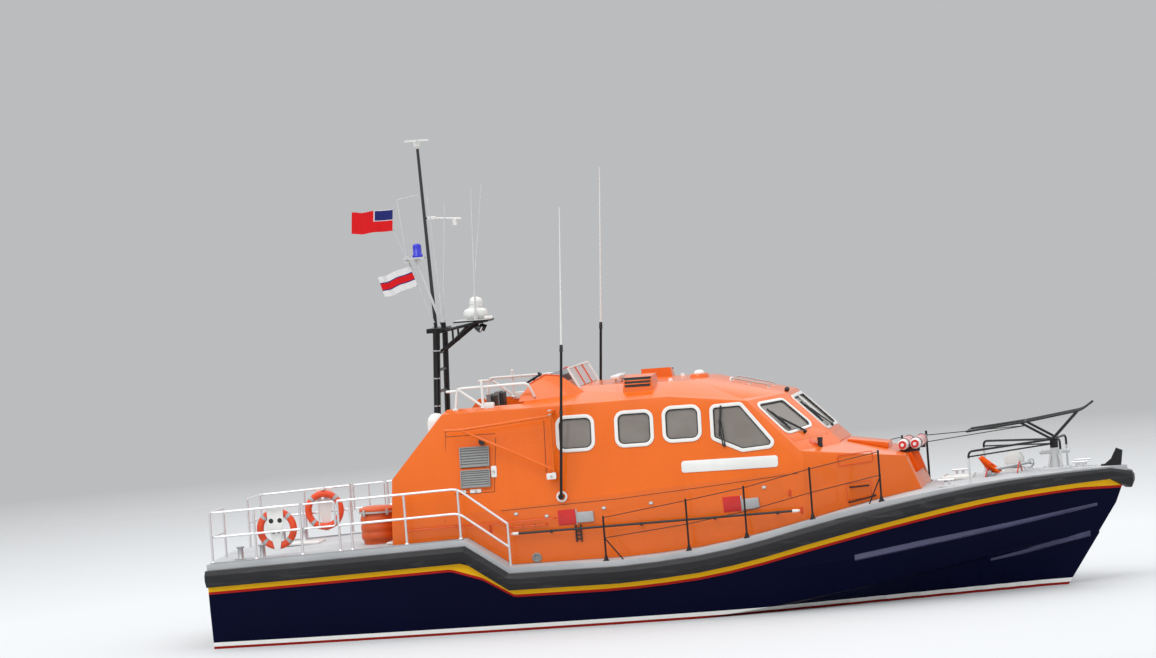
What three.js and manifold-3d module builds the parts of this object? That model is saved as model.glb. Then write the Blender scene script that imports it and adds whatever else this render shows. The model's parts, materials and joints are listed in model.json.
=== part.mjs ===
// A 16 m all-weather lifeboat: decked planing hull with a bar keel and propeller tunnels,
// faceted superstructure with an upper steering position, folding mast, rails and deck gear.
// Millimetres, +X to the bow, +Y to port, +Z up. The origin is amidships on the waterline.
import * as THREE from "three";
import { ConvexGeometry } from "three/addons/geometries/ConvexGeometry.js";
import { mergeVertices } from "three/addons/utils/BufferGeometryUtils.js";
import Module from "manifold-3d";

const wasm = await Module();
wasm.setup();

// Driving dimensions
const TRANSOM_X = -8100;
const STEM_X = 8050;
const KEEL_BOTTOM_Z = -1380;
const DECK_THICK = 100;
const CAMBER = 70;
const GAP = 0.4; // running gap between neighbouring pieces
const WALL = 70; // moulded wall of the superstructure
const GLASS = 14;

// Materials
const finish = (color, roughness, metalness = 0) =>
  new THREE.MeshStandardMaterial({ color, roughness, metalness });
const NAVY = finish(0x0d1440, 0.3);
const ORANGE = finish(0xf06a1e, 0.35);
const DECK_GREY = finish(0xb4b8b8, 0.8);
const BLACK_RUBBER = finish(0x17171a, 0.6);
const BLACK_PAINT = finish(0x1b1b1f, 0.45);
const WHITE = finish(0xf2f2ee, 0.35);
const STEEL = finish(0xc3c6c8, 0.3, 0.9);
const BRONZE = finish(0xa77b3c, 0.35, 0.9);
const GLAZING = finish(0x565a5c, 0.08);
const INTERIOR = finish(0x55585c, 0.8);
const BUOY_ORANGE = finish(0xf2521c, 0.5);
const FLAG_RED = finish(0xd8232a, 0.8);
const FLAG_WHITE = finish(0xeeeef0, 0.8);
const LAMP_BLUE = finish(0x2a28c8, 0.2);

// Solids

const solid = (geometry) => {
  const flat = geometry.index ? geometry.toNonIndexed() : geometry.clone();
  const bare = new THREE.BufferGeometry().setAttribute("position", flat.getAttribute("position"));
  const merged = mergeVertices(bare, 1e-3);
  const made = new wasm.Manifold(
    new wasm.Mesh({
      numProp: 3,
      vertProperties: merged.attributes.position.array,
      triVerts: new Uint32Array(merged.index.array),
    }),
  );
  return made;
};

const surface = (made) => {
  const mesh = made.getMesh();
  const positions = new Float32Array(mesh.numVert * 3);
  for (let i = 0; i < mesh.numVert; i++) {
    const start = i * mesh.numProp;
    positions.set(mesh.vertProperties.subarray(start, start + 3), i * 3);
  }
  return new THREE.BufferGeometry()
    .setAttribute("position", new THREE.BufferAttribute(positions, 3))
    .setIndex(new THREE.BufferAttribute(mesh.triVerts, 1));
};

const join = (...solids) => solids.flat().reduce((all, next) => all.add(next));
const cut = (from, ...solids) => solids.flat().reduce((left, next) => left.subtract(next), from);

const box = (x0, x1, y0, y1, z0, z1) =>
  solid(
    new THREE.BoxGeometry(x1 - x0, y1 - y0, z1 - z0).translate(
      (x0 + x1) / 2,
      (y0 + y1) / 2,
      (z0 + z1) / 2,
    ),
  );

// An outline of [x, z] points, extruded from y0 to y1.
const prismXZ = (points, y0, y1) => {
  const shape = new THREE.Shape(points.map(([x, z]) => new THREE.Vector2(x, z)));
  const geometry = new THREE.ExtrudeGeometry(shape, { depth: y1 - y0, bevelEnabled: false });
  return solid(geometry.rotateX(Math.PI / 2).translate(0, y1, 0));
};

// A rounded rectangle in X and Z round its centre, extruded from y0 to y1.
const roundedXZ = (cx, cz, width, height, radius, y0, y1) => {
  const shape = new THREE.Shape();
  const [w, h] = [width / 2, height / 2];
  shape.moveTo(cx + w, cz - h + radius);
  shape.absarc(cx + w - radius, cz + h - radius, radius, 0, Math.PI / 2);
  shape.absarc(cx - w + radius, cz + h - radius, radius, Math.PI / 2, Math.PI);
  shape.absarc(cx - w + radius, cz - h + radius, radius, Math.PI, 1.5 * Math.PI);
  shape.absarc(cx + w - radius, cz - h + radius, radius, 1.5 * Math.PI, 2 * Math.PI);
  const geometry = new THREE.ExtrudeGeometry(shape, {
    depth: y1 - y0,
    bevelEnabled: false,
    curveSegments: 4,
  });
  return solid(geometry.rotateX(Math.PI / 2).translate(0, y1, 0));
};

const hullOf = (points) => solid(new ConvexGeometry(points.map((p) => new THREE.Vector3(...p))));

// Each [x, y, z] given once and mirrored to the other side of the centreline.
const bothSides = (points) => points.flatMap(([x, y, z]) => [[x, y, z], [x, -y, z]]);
const mirrorPoints = (points) => points.map(([x, y, z]) => [x, -y, z]);

// A straight round rod between two points.
const rod = (a, b, radius, sides = 6, endRadius = radius) => {
  const [from, to] = [new THREE.Vector3(...a), new THREE.Vector3(...b)];
  const along = to.clone().sub(from);
  const geometry = new THREE.CylinderGeometry(endRadius, radius, along.length(), sides);
  const turn = new THREE.Quaternion().setFromUnitVectors(
    new THREE.Vector3(0, 1, 0),
    along.clone().normalize(),
  );
  geometry.applyQuaternion(turn);
  const middle = from.add(to).multiplyScalar(0.5);
  return solid(geometry.translate(middle.x, middle.y, middle.z));
};

// Rings of points, one after another, closed at both ends. A cap is a fan about the ring's mean,
// or strips across from each point to its mirror image, for a ring that starts and ends alike.
const loft = (rings, stripCaps = false) => {
  const count = rings[0].length;
  const vertices = rings.flat();
  const faces = [];
  for (let r = 0; r + 1 < rings.length; r++) {
    for (let k = 0; k < count; k++) {
      const next = (k + 1) % count;
      const [a, b] = [r * count + k, r * count + next];
      faces.push([a, b, b + count], [a, b + count, a + count]);
    }
  }
  const caps = [[0, true], [rings.length - 1, false]];
  for (const [r, first] of caps) {
    const ring = rings[r];
    const face = (a, b, c) => faces.push(first ? [c, b, a] : [a, b, c]);
    if (stripCaps) {
      for (let k = 0; k < (count - 1) / 2; k++) {
        const [a, b, c, d] = [k, k + 1, count - 2 - k, count - 1 - k].map((i) => r * count + i);
        if (b !== c) face(a, b, c);
        face(a, c, d);
      }
      continue;
    }
    const middle = [0, 1, 2].map((axis) => ring.reduce((sum, p) => sum + p[axis], 0) / count);
    vertices.push(middle);
    const hub = vertices.length - 1;
    for (let k = 0; k < count; k++) face(hub, r * count + k, r * count + ((k + 1) % count));
  }
  const build = (list) =>
    new THREE.BufferGeometry()
      .setAttribute("position", new THREE.Float32BufferAttribute(vertices.flat(), 3))
      .setIndex(list.flat());
  const made = solid(build(faces));
  return made.volume() > 0 ? made : solid(build(faces.map(([a, b, c]) => [a, c, b])));
};

// A bent pipe through the points, mitred at each bend.
const pipe = (points, radius, sides = 6) => {
  const path = points.map((p) => new THREE.Vector3(...p));
  const along = path.slice(1).map((p, i) => p.clone().sub(path[i]).normalize());
  const start = Math.abs(along[0].z) < 0.9 ? new THREE.Vector3(0, 0, 1) : new THREE.Vector3(0, 1, 0);
  const u = start.cross(along[0]).normalize();
  const v = along[0].clone().cross(u);
  let ring = Array.from({ length: sides }, (_, k) => {
    const angle = ((k + 0.5) * 2 * Math.PI) / sides;
    const [across, up] = [radius * Math.cos(angle), radius * Math.sin(angle)];
    return path[0].clone().addScaledVector(u, across).addScaledVector(v, up);
  });
  const rings = [ring];
  along.forEach((direction, i) => {
    const facing = direction.clone().add(along[i + 1] ?? direction).normalize();
    const bend = path[i + 1];
    ring = ring.map((p) => {
      const reach = bend.clone().sub(p).dot(facing) / direction.dot(facing);
      return p.clone().addScaledVector(direction, reach);
    });
    rings.push(ring);
  });
  return loft(rings.map((points) => points.map((p) => p.toArray())));
};

// A lathe profile of [radius, height] points, turned about a vertical axis at the given foot.
const turned = (profile, foot, sides = 16) => {
  const geometry = new THREE.LatheGeometry(
    profile.map(([r, h]) => new THREE.Vector2(r, h)),
    sides,
  );
  return solid(geometry.rotateX(Math.PI / 2).translate(...foot));
};

const mix = (a, b, t) => a.map((v, k) => v + (b[k] - v) * t);

// A smooth curve through [x, value] rows, with level ends.
const smooth = (rows, x) => {
  if (x <= rows[0][0]) return rows[0][1];
  const last = rows.length - 1;
  if (x >= rows[last][0]) return rows[last][1];
  const i = rows.findIndex(([rowX]) => rowX > x) - 1;
  const slope = (k) => {
    const [a, b] = [rows[Math.max(k - 1, 0)], rows[Math.min(k + 1, last)]];
    return (b[1] - a[1]) / (b[0] - a[0]);
  };
  const [x0, v0] = rows[i];
  const [x1, v1] = rows[i + 1];
  const [span, t] = [x1 - x0, (x - x0) / (x1 - x0)];
  const [t2, t3] = [t * t, t * t * t];
  return (
    (2 * t3 - 3 * t2 + 1) * v0 +
    (t3 - 2 * t2 + t) * span * slope(i) +
    (3 * t2 - 2 * t3) * v1 +
    (t3 - t2) * span * slope(i + 1)
  );
};

const linear = (rows, x) => {
  const i = Math.min(Math.max(rows.findIndex(([rowX]) => rowX > x), 1), rows.length - 1);
  const [[x0, v0], [x1, v1]] = [rows[i - 1], rows[i]];
  return v0 + ((v1 - v0) * Math.min(Math.max(x - x0, 0), x1 - x0)) / (x1 - x0);
};

// Hull

// Each row is one section of the hull, named by the x of its deck edge.
const SECTION_COLUMNS = [
  "deckX", "deckY", "knuckleX", "knuckleY", "knuckleZ",
  "chineX", "chineY", "chineZ", "keelX", "keelZ",
];
const SECTIONS = [
  [TRANSOM_X, 2200, TRANSOM_X, 2165, 700, TRANSOM_X, 2070, -120, TRANSOM_X, -480],
  [-6500, 2350, -6500, 2310, 700, -6500, 2180, -120, -6500, -700],
  [-4500, 2450, -4500, 2405, 690, -4500, 2255, -110, -4500, -860],
  [-2500, 2500, -2500, 2450, 680, -2500, 2290, -90, -2500, -940],
  [-500, 2500, -500, 2445, 690, -500, 2280, -50, -500, -980],
  [1500, 2420, 1500, 2350, 740, 1500, 2140, 80, 1500, -1000],
  [3000, 2220, 3000, 2110, 830, 3000, 1830, 270, 2950, -1000],
  [4500, 1840, 4490, 1660, 960, 4450, 1320, 480, 4350, -985],
  [6000, 1250, 5950, 1010, 1130, 5850, 700, 690, 5500, -950],
  [7200, 590, 7060, 400, 1290, 6850, 230, 830, 6080, -880],
  [STEM_X, 70, 7815, 50, 1390, 7480, 40, 905, 6330, -780],
];
const column = (name, x) => {
  const index = SECTION_COLUMNS.indexOf(name);
  return smooth(SECTIONS.map((row) => [row[0], row[index]]), x);
};

// Height of the deck edge: a raised quarterdeck, a step down to the low waist, then the sheer.
const WAIST_AFT_X = -2650;
const QUARTERDECK_X = -3400;
const QUARTERDECK = [[TRANSOM_X, 1500], [QUARTERDECK_X, 1655], [WAIST_AFT_X, 1130], [-700, 1130]];
const SHEER = [
  [-700, 1130], [500, 1200], [1550, 1350], [2730, 1600],
  [3920, 1810], [5460, 1975], [6940, 2030], [STEM_X, 2035],
];
const deckEdgeZ = (x) => (x < -700 ? linear(QUARTERDECK, x) : smooth(SHEER, x));
const deckEdgeY = (x) => column("deckY", x);
const deckCrown = (x) => (CAMBER * deckEdgeY(x)) / 2500;
const deckTopZ = (x, y) => deckEdgeZ(x) + deckCrown(x) * (1 - Math.abs(y) / deckEdgeY(x));

const STATIONS = [
  TRANSOM_X, -7300, -6500, -5500, -4500, QUARTERDECK_X, WAIST_AFT_X, -1700, -700, 0, 700, 1300,
  1900, 2500, 3100, 3700, 4300, 4900, 5500, 6000, 6500, 7000, 7400, 7750, STEM_X,
];
const CHINE_FLAT = 130;

// The moulded hull; grow moves its sides out a little, so that it can cut its neighbours.
const mouldedHull = (grow = 0) => {
  const rings = STATIONS.map((x) => {
    const c = Object.fromEntries(SECTION_COLUMNS.map((name) => [name, column(name, x)]));
    const top = deckEdgeZ(x) - DECK_THICK;
    const end = x === STEM_X ? grow : x === TRANSOM_X ? -grow : 0;
    const flat = Math.min(CHINE_FLAT, c.chineY * 0.4);
    const side = [
      [c.keelX + end, 30 + grow, c.keelZ - grow],
      [c.chineX + end, c.chineY - flat + grow, c.chineZ - 35],
      [c.chineX + end, c.chineY + grow, c.chineZ],
      [c.knuckleX + end, c.knuckleY + grow, c.knuckleZ],
      [x + end, c.deckY + grow, top],
    ];
    const mirrored = side.map(([px, py, pz]) => [px, -py, pz]).reverse();
    return [...side, [x + end, 0, top + deckCrown(x)], ...mirrored];
  });
  return loft(rings, true);
};

const KEEL_HALF = 110;
const KEEL_OUTLINE = [
  [-6900, KEEL_BOTTOM_Z], [4700, KEEL_BOTTOM_Z], [5500, -1230], [6120, -960], [6330, -790],
  [6000, -500], [-6300, -300],
];

const SHAFT_Y = 1050;
const SHAFT_Z = -830;
const PROP_X = -6850;
const PROP_RADIUS = 400;
const TUNNEL_RADIUS = 480;
const RUDDER_X = -7500;
const SHAFT_RADIUS = 36;
const SHAFT_BORE = 36.8;
const STOCK_RADIUS = 38;
const STOCK_BORE = 38.9;
const BAY = { x0: -8300, x1: -5300, half: 780, z0: 430, z1: 1300 };

const makeHull = () => {
  const keel = prismXZ(KEEL_OUTLINE, -KEEL_HALF, KEEL_HALF);
  let hull = join(mouldedHull(), keel);
  for (const side of [-1, 1]) {
    const y = side * SHAFT_Y;
    const tunnel = rod([-8300, y, SHAFT_Z], [-6000, y, SHAFT_Z], TUNNEL_RADIUS, 20);
    const mouth = rod([-6000.1, y, SHAFT_Z], [-5000, y, SHAFT_Z - 200], TUNNEL_RADIUS, 20, 60);
    hull = cut(hull, tunnel, mouth);
    const boss = rod([PROP_X + 130, y, SHAFT_Z], [PROP_X + 420, y, SHAFT_Z], 85, 14);
    const leg = prismXZ(
      [[PROP_X + 190, SHAFT_Z], [PROP_X + 360, SHAFT_Z], [PROP_X + 400, -250], [PROP_X + 170, -250]],
      y - 22,
      y + 22,
    );
    const bore = rod([PROP_X + 100, y, SHAFT_Z], [PROP_X + 450, y, SHAFT_Z], SHAFT_BORE, 24);
    hull = cut(join(hull, boss, leg), bore);
    const gland = rod([-6100, y, SHAFT_Z], [-5900, y, SHAFT_Z], SHAFT_BORE, 24);
    const stockHole = rod([RUDDER_X, y, SHAFT_Z], [RUDDER_X, y, 120], STOCK_BORE, 24);
    hull = cut(hull, gland, stockHole);
  }
  return cut(hull, box(BAY.x0, BAY.x1, -BAY.half, BAY.half, BAY.z0, BAY.z1));
};

const deckSolid = (edgeInset, bottom, top) =>
  loft(
    STATIONS.map((x) => {
      const [y, z, crown] = [deckEdgeY(x) - edgeInset, deckEdgeZ(x), deckCrown(x)];
      return [
        [x, -y, z + bottom], [x, 0, z + bottom + crown], [x, y, z + bottom],
        [x, y, z + top], [x, 0, z + top + crown], [x, -y, z + top],
      ];
    }),
  );

// Rubber belting round the deck edge, as a D that grows from the nose to the waist.
const BELT_HEIGHT = [[TRANSOM_X, 300], [3000, 300], [STEM_X, 190]];
const BELT_DROP = [[TRANSOM_X, 95], [4000, 95], [6200, 15], [STEM_X, 15]];
const BELT_DEPTH = 150;
const makeBelting = () => {
  const side = STATIONS.map((x) => [x, deckEdgeY(x)]);
  const plan = [
    ...side.map(([x, y]) => [x, -y]),
    ...side.map(([x, y]) => [x, y]).reverse(),
  ];
  const section = [[-60, 0], [95, -8], [BELT_DEPTH, -0.3], [BELT_DEPTH, -0.62], [85, -1], [-60, -1]];
  const rings = plan.map(([x, y], i) => {
    const [before, after] = [plan[Math.max(i - 1, 0)], plan[Math.min(i + 1, plan.length - 1)]];
    const along = new THREE.Vector2(after[0] - before[0], after[1] - before[1]).normalize();
    const out = new THREE.Vector2(along.y, -along.x);
    const top = deckEdgeZ(x) - linear(BELT_DROP, x);
    const height = linear(BELT_HEIGHT, x);
    return section.map(([n, share]) => [
      x + out.x * n,
      y + out.y * n,
      top + (share > -2 && share <= 0 ? share * height : share),
    ]);
  });
  return cut(loft(rings), mouldedHull(GAP), deckSolid(25 - GAP, -DECK_THICK - 40, 60));
};

// Stern bay door, hinged along its lower edge
const DOOR_X = TRANSOM_X - 45;
const makeSternDoor = () => {
  const panel = box(DOOR_X, TRANSOM_X - GAP, -BAY.half - 70, BAY.half + 70, BAY.z0 - 60, BAY.z1 + 40);
  const plug = box(TRANSOM_X - 1, TRANSOM_X + 60, -BAY.half + 12, BAY.half - 12, BAY.z0 + 40, BAY.z1 - 12);
  return join(panel, plug);
};

// Superstructure

const WELL = { aft: -4900, fwd: -2320, half: 1560, floor: 3000 };
const BULKHEAD_X = WELL.fwd + WALL; // forward face of the bulkhead between well and cabin
const CABIN_FRONT_X = 3130;

// The sides lean in as they rise, and have a knuckle that climbs towards the bow.
const SIDE_LEAN = 0.1625;
const sideY = (z) => 2060 - SIDE_LEAN * (z - 2300);
const onSide = (x, z) => [x, sideY(z), z];
const SIDE_HEAD = onSide(2561, 2788); // where side, quarter window and trunk meet
const QUARTER_HEAD = onSide(1675, 3713);
const SCREEN_TOP = [2230, 724, 3750];
const SCREEN_BASE = [CABIN_FRONT_X, 800, 2850];
const TRUNK_AFT = [2600, 1985, 2785];
const TRUNK_HEAD = [4280, 1060, 2520];

// Every face of the wheelhouse and the trunk is flat. Each is given by three of its points on the
// port side, and has its mirror image to starboard.
const FACETS = {
  aft: [[-4744, 0, 1637], [-4744, 900, 1637], [-4688, 0, 2767]],
  aftSlope: [[-4688, 0, 2767], [-4688, 900, 2767], [-3756, 0, 3828]],
  side: [onSide(-3756, 3838), onSide(298, 3880), onSide(0, 2300)],
  sideLow: [onSide(-2822, 2129), onSide(1483, 2390), [0, 1990, 1250]],
  roofShoulder: [onSide(-3756, 3838), onSide(298, 3880), [-1039, 900, 4124]],
  roofTop: [[-1039, 0, 4124], [-1039, 900, 4124], [853, 0, 4094]],
  foreRoof: [[853, 0, 4094], [853, 900, 4094], [2230, 0, 3750]],
  foreShoulder: [onSide(298, 3880), QUARTER_HEAD, [853, 900, 4094]],
  foreCorner: [QUARTER_HEAD, SCREEN_TOP, [1298, 700, 3979]],
  quarter: [QUARTER_HEAD, SIDE_HEAD, SCREEN_BASE],
  screen: [[2230, 0, 3750], SCREEN_TOP, [CABIN_FRONT_X, 0, 2850]],
  cabinFront: [[CABIN_FRONT_X, 0, 2000], [CABIN_FRONT_X, 900, 2000], [CABIN_FRONT_X, 0, 2850]],
  trunkSide: [TRUNK_AFT, TRUNK_HEAD, [2600, 2066, 2285]],
  trunkSideLow: [[2700, 1976, 2486], [3657, 1408, 2585], [3100, 1679, 1800]],
  trunkShoulder: [TRUNK_AFT, TRUNK_HEAD, [3000, 700, 2860]],
  trunkTop: [[3000, 0, 2860], [3000, 700, 2860], [4290, 0, 2530]],
  trunkFront: [[4290, 0, 2505], [4290, 900, 2505], [4500, 0, 1920]],
};
const SHARED_SIDES = ["side", "sideLow", "trunkSide", "trunkSideLow"];
const SHOULDERS = ["roofShoulder", "roofTop", "foreRoof", "foreShoulder", "foreCorner"];
const SCREENS = ["quarter", "screen"];
const HOUSE_FACETS = ["aft", "aftSlope", "cabinFront", ...SHARED_SIDES, ...SHOULDERS, ...SCREENS];
const TRUNK_FACETS = [...SHARED_SIDES, "trunkShoulder", "trunkTop", "trunkFront"];
const INSIDE_POINT = new THREE.Vector3(2500, 0, 2100);

// A block trimmed back to the named facets, each moved in by the inset.
const trimmed = (block, names, inset) =>
  names.reduce((left, name) => {
    const corners = FACETS[name].map((corner) => new THREE.Vector3(...corner));
    const plane = new THREE.Plane().setFromCoplanarPoints(...corners);
    if (plane.distanceToPoint(INSIDE_POINT) < 0) plane.negate();
    const { x, y, z } = plane.normal;
    const offset = inset - plane.constant;
    return left.trimByPlane([x, y, z], offset).trimByPlane([x, -y, z], offset);
  }, block);
const everything = () => box(-4900, 4900, -2400, 2400, 900, 4400);
const house = (inset = 0) => trimmed(everything(), HOUSE_FACETS, inset);
const trunk = (inset = 0) => trimmed(box(2300, 4900, -2400, 2400, 900, 4400), TRUNK_FACETS, inset);

const STEP_COUNT = 5;
const STAIR = { y0: -1190, y1: -680, x0: -4900, foot: 1640, run: 200 };
const HOOD = { x0: -4050, x1: -3100, y0: 680, y1: 1560, top: 3450 };
const DOORWAY = { y0: 780, y1: 1400, z0: 1720, z1: 3300 };

// Side windows: centre x, centre z of the clear opening.
const SIDE_WINDOWS = [[-1382, 3356], [-336, 3371], [510, 3397]];
const WINDOW = { width: 570, height: 520, radius: 105 };
const HELM_WINDOW = [
  [1070, 3630], [1545, 3642], [2075, 2975], [2030, 2925], [1560, 2895], [1072, 3125],
];

const sideWindowPrism = (index, shrink, side = -1) => {
  const [y0, y1] = side < 0 ? [-2400, -1400] : [1400, 2400];
  if (index < SIDE_WINDOWS.length) {
    const [x, z] = SIDE_WINDOWS[index];
    const { width, height, radius } = WINDOW;
    return roundedXZ(x, z, width - 2 * shrink, height - 2 * shrink, radius, y0, y1);
  }
  const [cx, cz] = [1550, 3270];
  const outline = HELM_WINDOW.map(([x, z]) => mix([x, z], [cx, cz], shrink / 250));
  return prismXZ(outline, y0, y1);
};

// Windscreen openings: a slanting bar of clear space through each front facet.
const facetPrism = (corners, shrink) => {
  const [p, q, r] = corners.slice(0, 3).map((c) => new THREE.Vector3(...c));
  const normal = q.clone().sub(p).cross(r.clone().sub(p)).normalize();
  const middle = corners.reduce((sum, c) => sum.add(new THREE.Vector3(...c)), new THREE.Vector3());
  middle.multiplyScalar(1 / corners.length);
  const reach = 160;
  const points = corners.flatMap((c) => {
    const inward = middle.clone().sub(new THREE.Vector3(...c));
    const corner = new THREE.Vector3(...c).add(inward.setLength(shrink));
    return [reach, -reach].map((n) => corner.clone().addScaledVector(normal, n).toArray());
  });
  return hullOf(points);
};
const PANE_TOP = 0.1;
const PANE_BASE = 0.8;
const centrePane = () => {
  const [top, base] = [PANE_TOP, PANE_BASE].map((t) => mix(SCREEN_TOP, SCREEN_BASE, t));
  const inset = 75;
  return [
    [top[0], top[1] - inset, top[2]], [base[0], base[1] - inset, base[2]],
    [base[0], -base[1] + inset, base[2]], [top[0], -top[1] + inset, top[2]],
  ];
};
const quarterPane = () => {
  const edge = (t) => [mix(SCREEN_TOP, SCREEN_BASE, t), mix(QUARTER_HEAD, SIDE_HEAD, t)];
  const [topIn, topOut] = edge(PANE_TOP);
  const [baseIn, baseOut] = edge(PANE_BASE);
  const [near, far] = [0.1, 0.88];
  const top = [mix(topIn, topOut, near), mix(topIn, topOut, far)];
  const base = [mix(baseIn, baseOut, far), mix(baseIn, baseOut, near)];
  return mirrorPoints([...top, ...base]);
};

const ROOF_VENT = { x0: -564, x1: -31, y0: 880, y1: 1330 };
const makeRoofVents = () =>
  [-1, 1].map((side) => {
    const { x0, x1, y0, y1 } = ROOF_VENT;
    const [low, crest, eave] = [3850, 4270, 4230];
    const base = [[x0 - 20, y0 - 40], [x1 + 60, y0 - 40], [x0 - 20, y1 + 90], [x1 + 60, y1 + 90]];
    const top = [[x0, y0, crest], [x1, y0, crest], [x0 + 30, y1, eave], [x1 - 30, y1, eave]];
    const points = [...base.map(([x, y]) => [x, y, low]), ...top];
    return cut(hullOf(points.map(([x, y, z]) => [x, side * y, z])), house(WALL / 2));
  });

// The whole shell: wheelhouse, trunk, and the well aft with its stair and the hood over the door.
const makeShell = (deckCutter) => {
  let shell = join(house(), trunk());
  const cabin = cut(house(WALL), box(-6000, BULKHEAD_X, -3000, 3000, 0, 5000));
  const casing = cut(
    house(WALL),
    box(-6000, -3700, -3000, 3000, 0, 5000),
    box(WELL.fwd, 6000, -3000, 3000, 0, 5000),
    box(-6000, 6000, -3000, 3000, WELL.floor - WALL, 5000),
  );
  shell = cut(shell, cabin, casing, cut(trunk(WALL), house(-GAP)));
  shell = cut(shell, box(WELL.aft, WELL.fwd, -WELL.half, WELL.half, WELL.floor, 4500));
  const hood = box(HOOD.x0, HOOD.x1, HOOD.y0, HOOD.y1, 1500, HOOD.top);
  shell = cut(join(shell, hood), box(-4900, HOOD.x0, HOOD.y0 + 20, HOOD.y1 - 30, 1200, 4500));
  const passage = box(HOOD.x0 - 5, -2200, DOORWAY.y0, DOORWAY.y1, DOORWAY.z0, DOORWAY.z1 - 380);
  const headroom = box(HOOD.x0 - 5, HOOD.x1 - WALL, DOORWAY.y0, DOORWAY.y1, DOORWAY.z0, DOORWAY.z1);
  shell = cut(shell, passage, headroom);
  const rise = (WELL.floor - STAIR.foot) / STEP_COUNT;
  for (let i = 0; i < STEP_COUNT; i++) {
    const x = -4790 + i * STAIR.run;
    const z = STAIR.foot + i * rise;
    shell = cut(shell, box(i ? x - 1 : STAIR.x0, x + STAIR.run, STAIR.y0, STAIR.y1, z, 4500));
  }
  for (let i = 0; i <= SIDE_WINDOWS.length; i++) {
    shell = cut(shell, sideWindowPrism(i, 0), sideWindowPrism(i, 0, 1));
  }
  const quarter = quarterPane();
  shell = cut(shell, [centrePane(), quarter, mirrorPoints(quarter)].map((pane) => facetPrism(pane, 0)));
  const hatchHole = box(3260, 3840, -290, 290, 2450, 2900);
  return cut(shell, hatchHole, deckCutter);
};

// The shell's panels, parted where the real mouldings meet, a hair inside its inner face.
const PANEL = WALL + 1;
const splitShell = (shell) => {
  const beforeFront = box(CABIN_FRONT_X, 5000, -3000, 3000, 0, 5000);
  const insideSides = (inset) => {
    const wide = cut(trimmed(everything(), SHARED_SIDES, inset), beforeFront);
    const beside = [-1, 1].map((side) => {
      const [y0, y1] = side < 0 ? [-3000, -WELL.half - WALL + inset] : [WELL.half + WALL - inset, 3000];
      return box(-5000, BULKHEAD_X - WALL + inset, y0, y1, WELL.floor - inset, 5000);
    });
    return cut(wide, beside);
  };
  const foredeck = box(2300, 5000, -3000, 3000, 0, 5000);
  const nose = cut(shell.intersect(foredeck), house(-GAP));
  const wheelhouse = shell.intersect(house());
  const sides = cut(wheelhouse, insideSides(PANEL));
  const rest = wheelhouse.intersect(insideSides(PANEL + GAP));
  const aftPart = box(-5000, BULKHEAD_X, -3000, 3000, 0, 5000);
  const casing = rest.intersect(aftPart);
  const fore = cut(rest, box(-5000, BULKHEAD_X + GAP, -3000, 3000, 0, 5000));
  const underRoof = (inset) => trimmed(everything(), SHOULDERS, inset);
  return {
    starboard: sides.intersect(box(-5000, 5000, -3000, 0, 0, 5000)),
    port: sides.intersect(box(-5000, 5000, 0, 3000, 0, 5000)),
    casing,
    roof: cut(fore, underRoof(PANEL)),
    front: fore.intersect(underRoof(PANEL + GAP)),
    trunk: nose,
  };
};

const glassLayer = () => cut(house(18), house(18 + GLASS));

const makeDoor = () => {
  const { y0, y1, z0, z1 } = DOORWAY;
  const panel = box(HOOD.x0 - 55, HOOD.x0 - GAP, y0 - 45, y1 + 45, z0 - 20, z1 + 45);
  const plug = box(HOOD.x0 - 1, HOOD.x0 + 40, y0 + 15, y1 - 15, z0 + 15, z1 - 15);
  return join(panel, plug);
};

const makeForeHatch = () => {
  const outline = [
    [3200, 2780], [3912, 2590], [3912, 2720], [3895, 2736], [3215, 2846], [3200, 2832],
  ];
  return prismXZ(outline, -350, 350);
};

// Cabin floor with the crew's seats and the helm console
const SOLE_Z = 2050;
const CREW_SEATS = bothSides([[-1500, -1000, SOLE_Z], [-350, -1050, SOLE_Z], [800, -700, SOLE_Z]]);
const makeCabinInterior = () => {
  const plank = box(BULKHEAD_X + GAP, 2500, -2100, 2100, SOLE_Z - 60, SOLE_Z);
  const sole = plank.intersect(house(WALL + GAP));
  const seats = CREW_SEATS.flatMap(([x, y, z]) => {
    const back = [[x - 230, z + 500], [x - 110, z + 500], [x - 200, z + 1330], [x - 300, z + 1330]];
    return [
      box(x - 150, x + 150, y - 150, y + 150, z - 10, z + 460),
      box(x - 230, x + 260, y - 240, y + 240, z + 450, z + 570),
      prismXZ(back, y - 230, y + 230),
    ];
  });
  const dash = [[1500, -10], [2250, -10], [2250, 600], [1950, 830], [1500, 620]];
  const console = prismXZ(dash.map(([x, z]) => [x, SOLE_Z + z]), -1150, 1150);
  return join(sole, seats, console);
};

// Upper steering position

// Outline of the fairing round the steering position, seen from the side
const SCREEN_FOOT = [-1361, 4073];
const SCREEN_HEAD = [-1562, 4466];
const makeCoaming = () => {
  const outer = hullOf(
    bothSides([
      [-2450, 1500, 3860], [-1290, 1340, 3900], [-1290, 1180, 4050], [-2390, 1400, 4050],
      [-2210, 1300, 4247], [-1964, 1150, 4385], [-1698, 1150, 4350], [-1375, 1150, 4080],
    ]),
  );
  const inner = hullOf(
    bothSides([
      [-2800, 1380, 3880], [-1480, 1220, 3880], [-2800, 1080, 4700], [-1800, 1060, 4700],
      [-1480, 1090, 4080],
    ]),
  );
  return cut(outer, inner, house(-GAP), box(-4000, -2450, -3000, 3000, 3000, 5000));
};

const makeUpperWindscreen = () => {
  const [[x0, z0], [x1, z1]] = [SCREEN_FOOT, SCREEN_HEAD];
  return prismXZ([[x0 - 20, z0 - 5], [x0, z0 + 5], [x1, z1], [x1 - 20, z1 - 6]], -1100, 1100);
};

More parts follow.
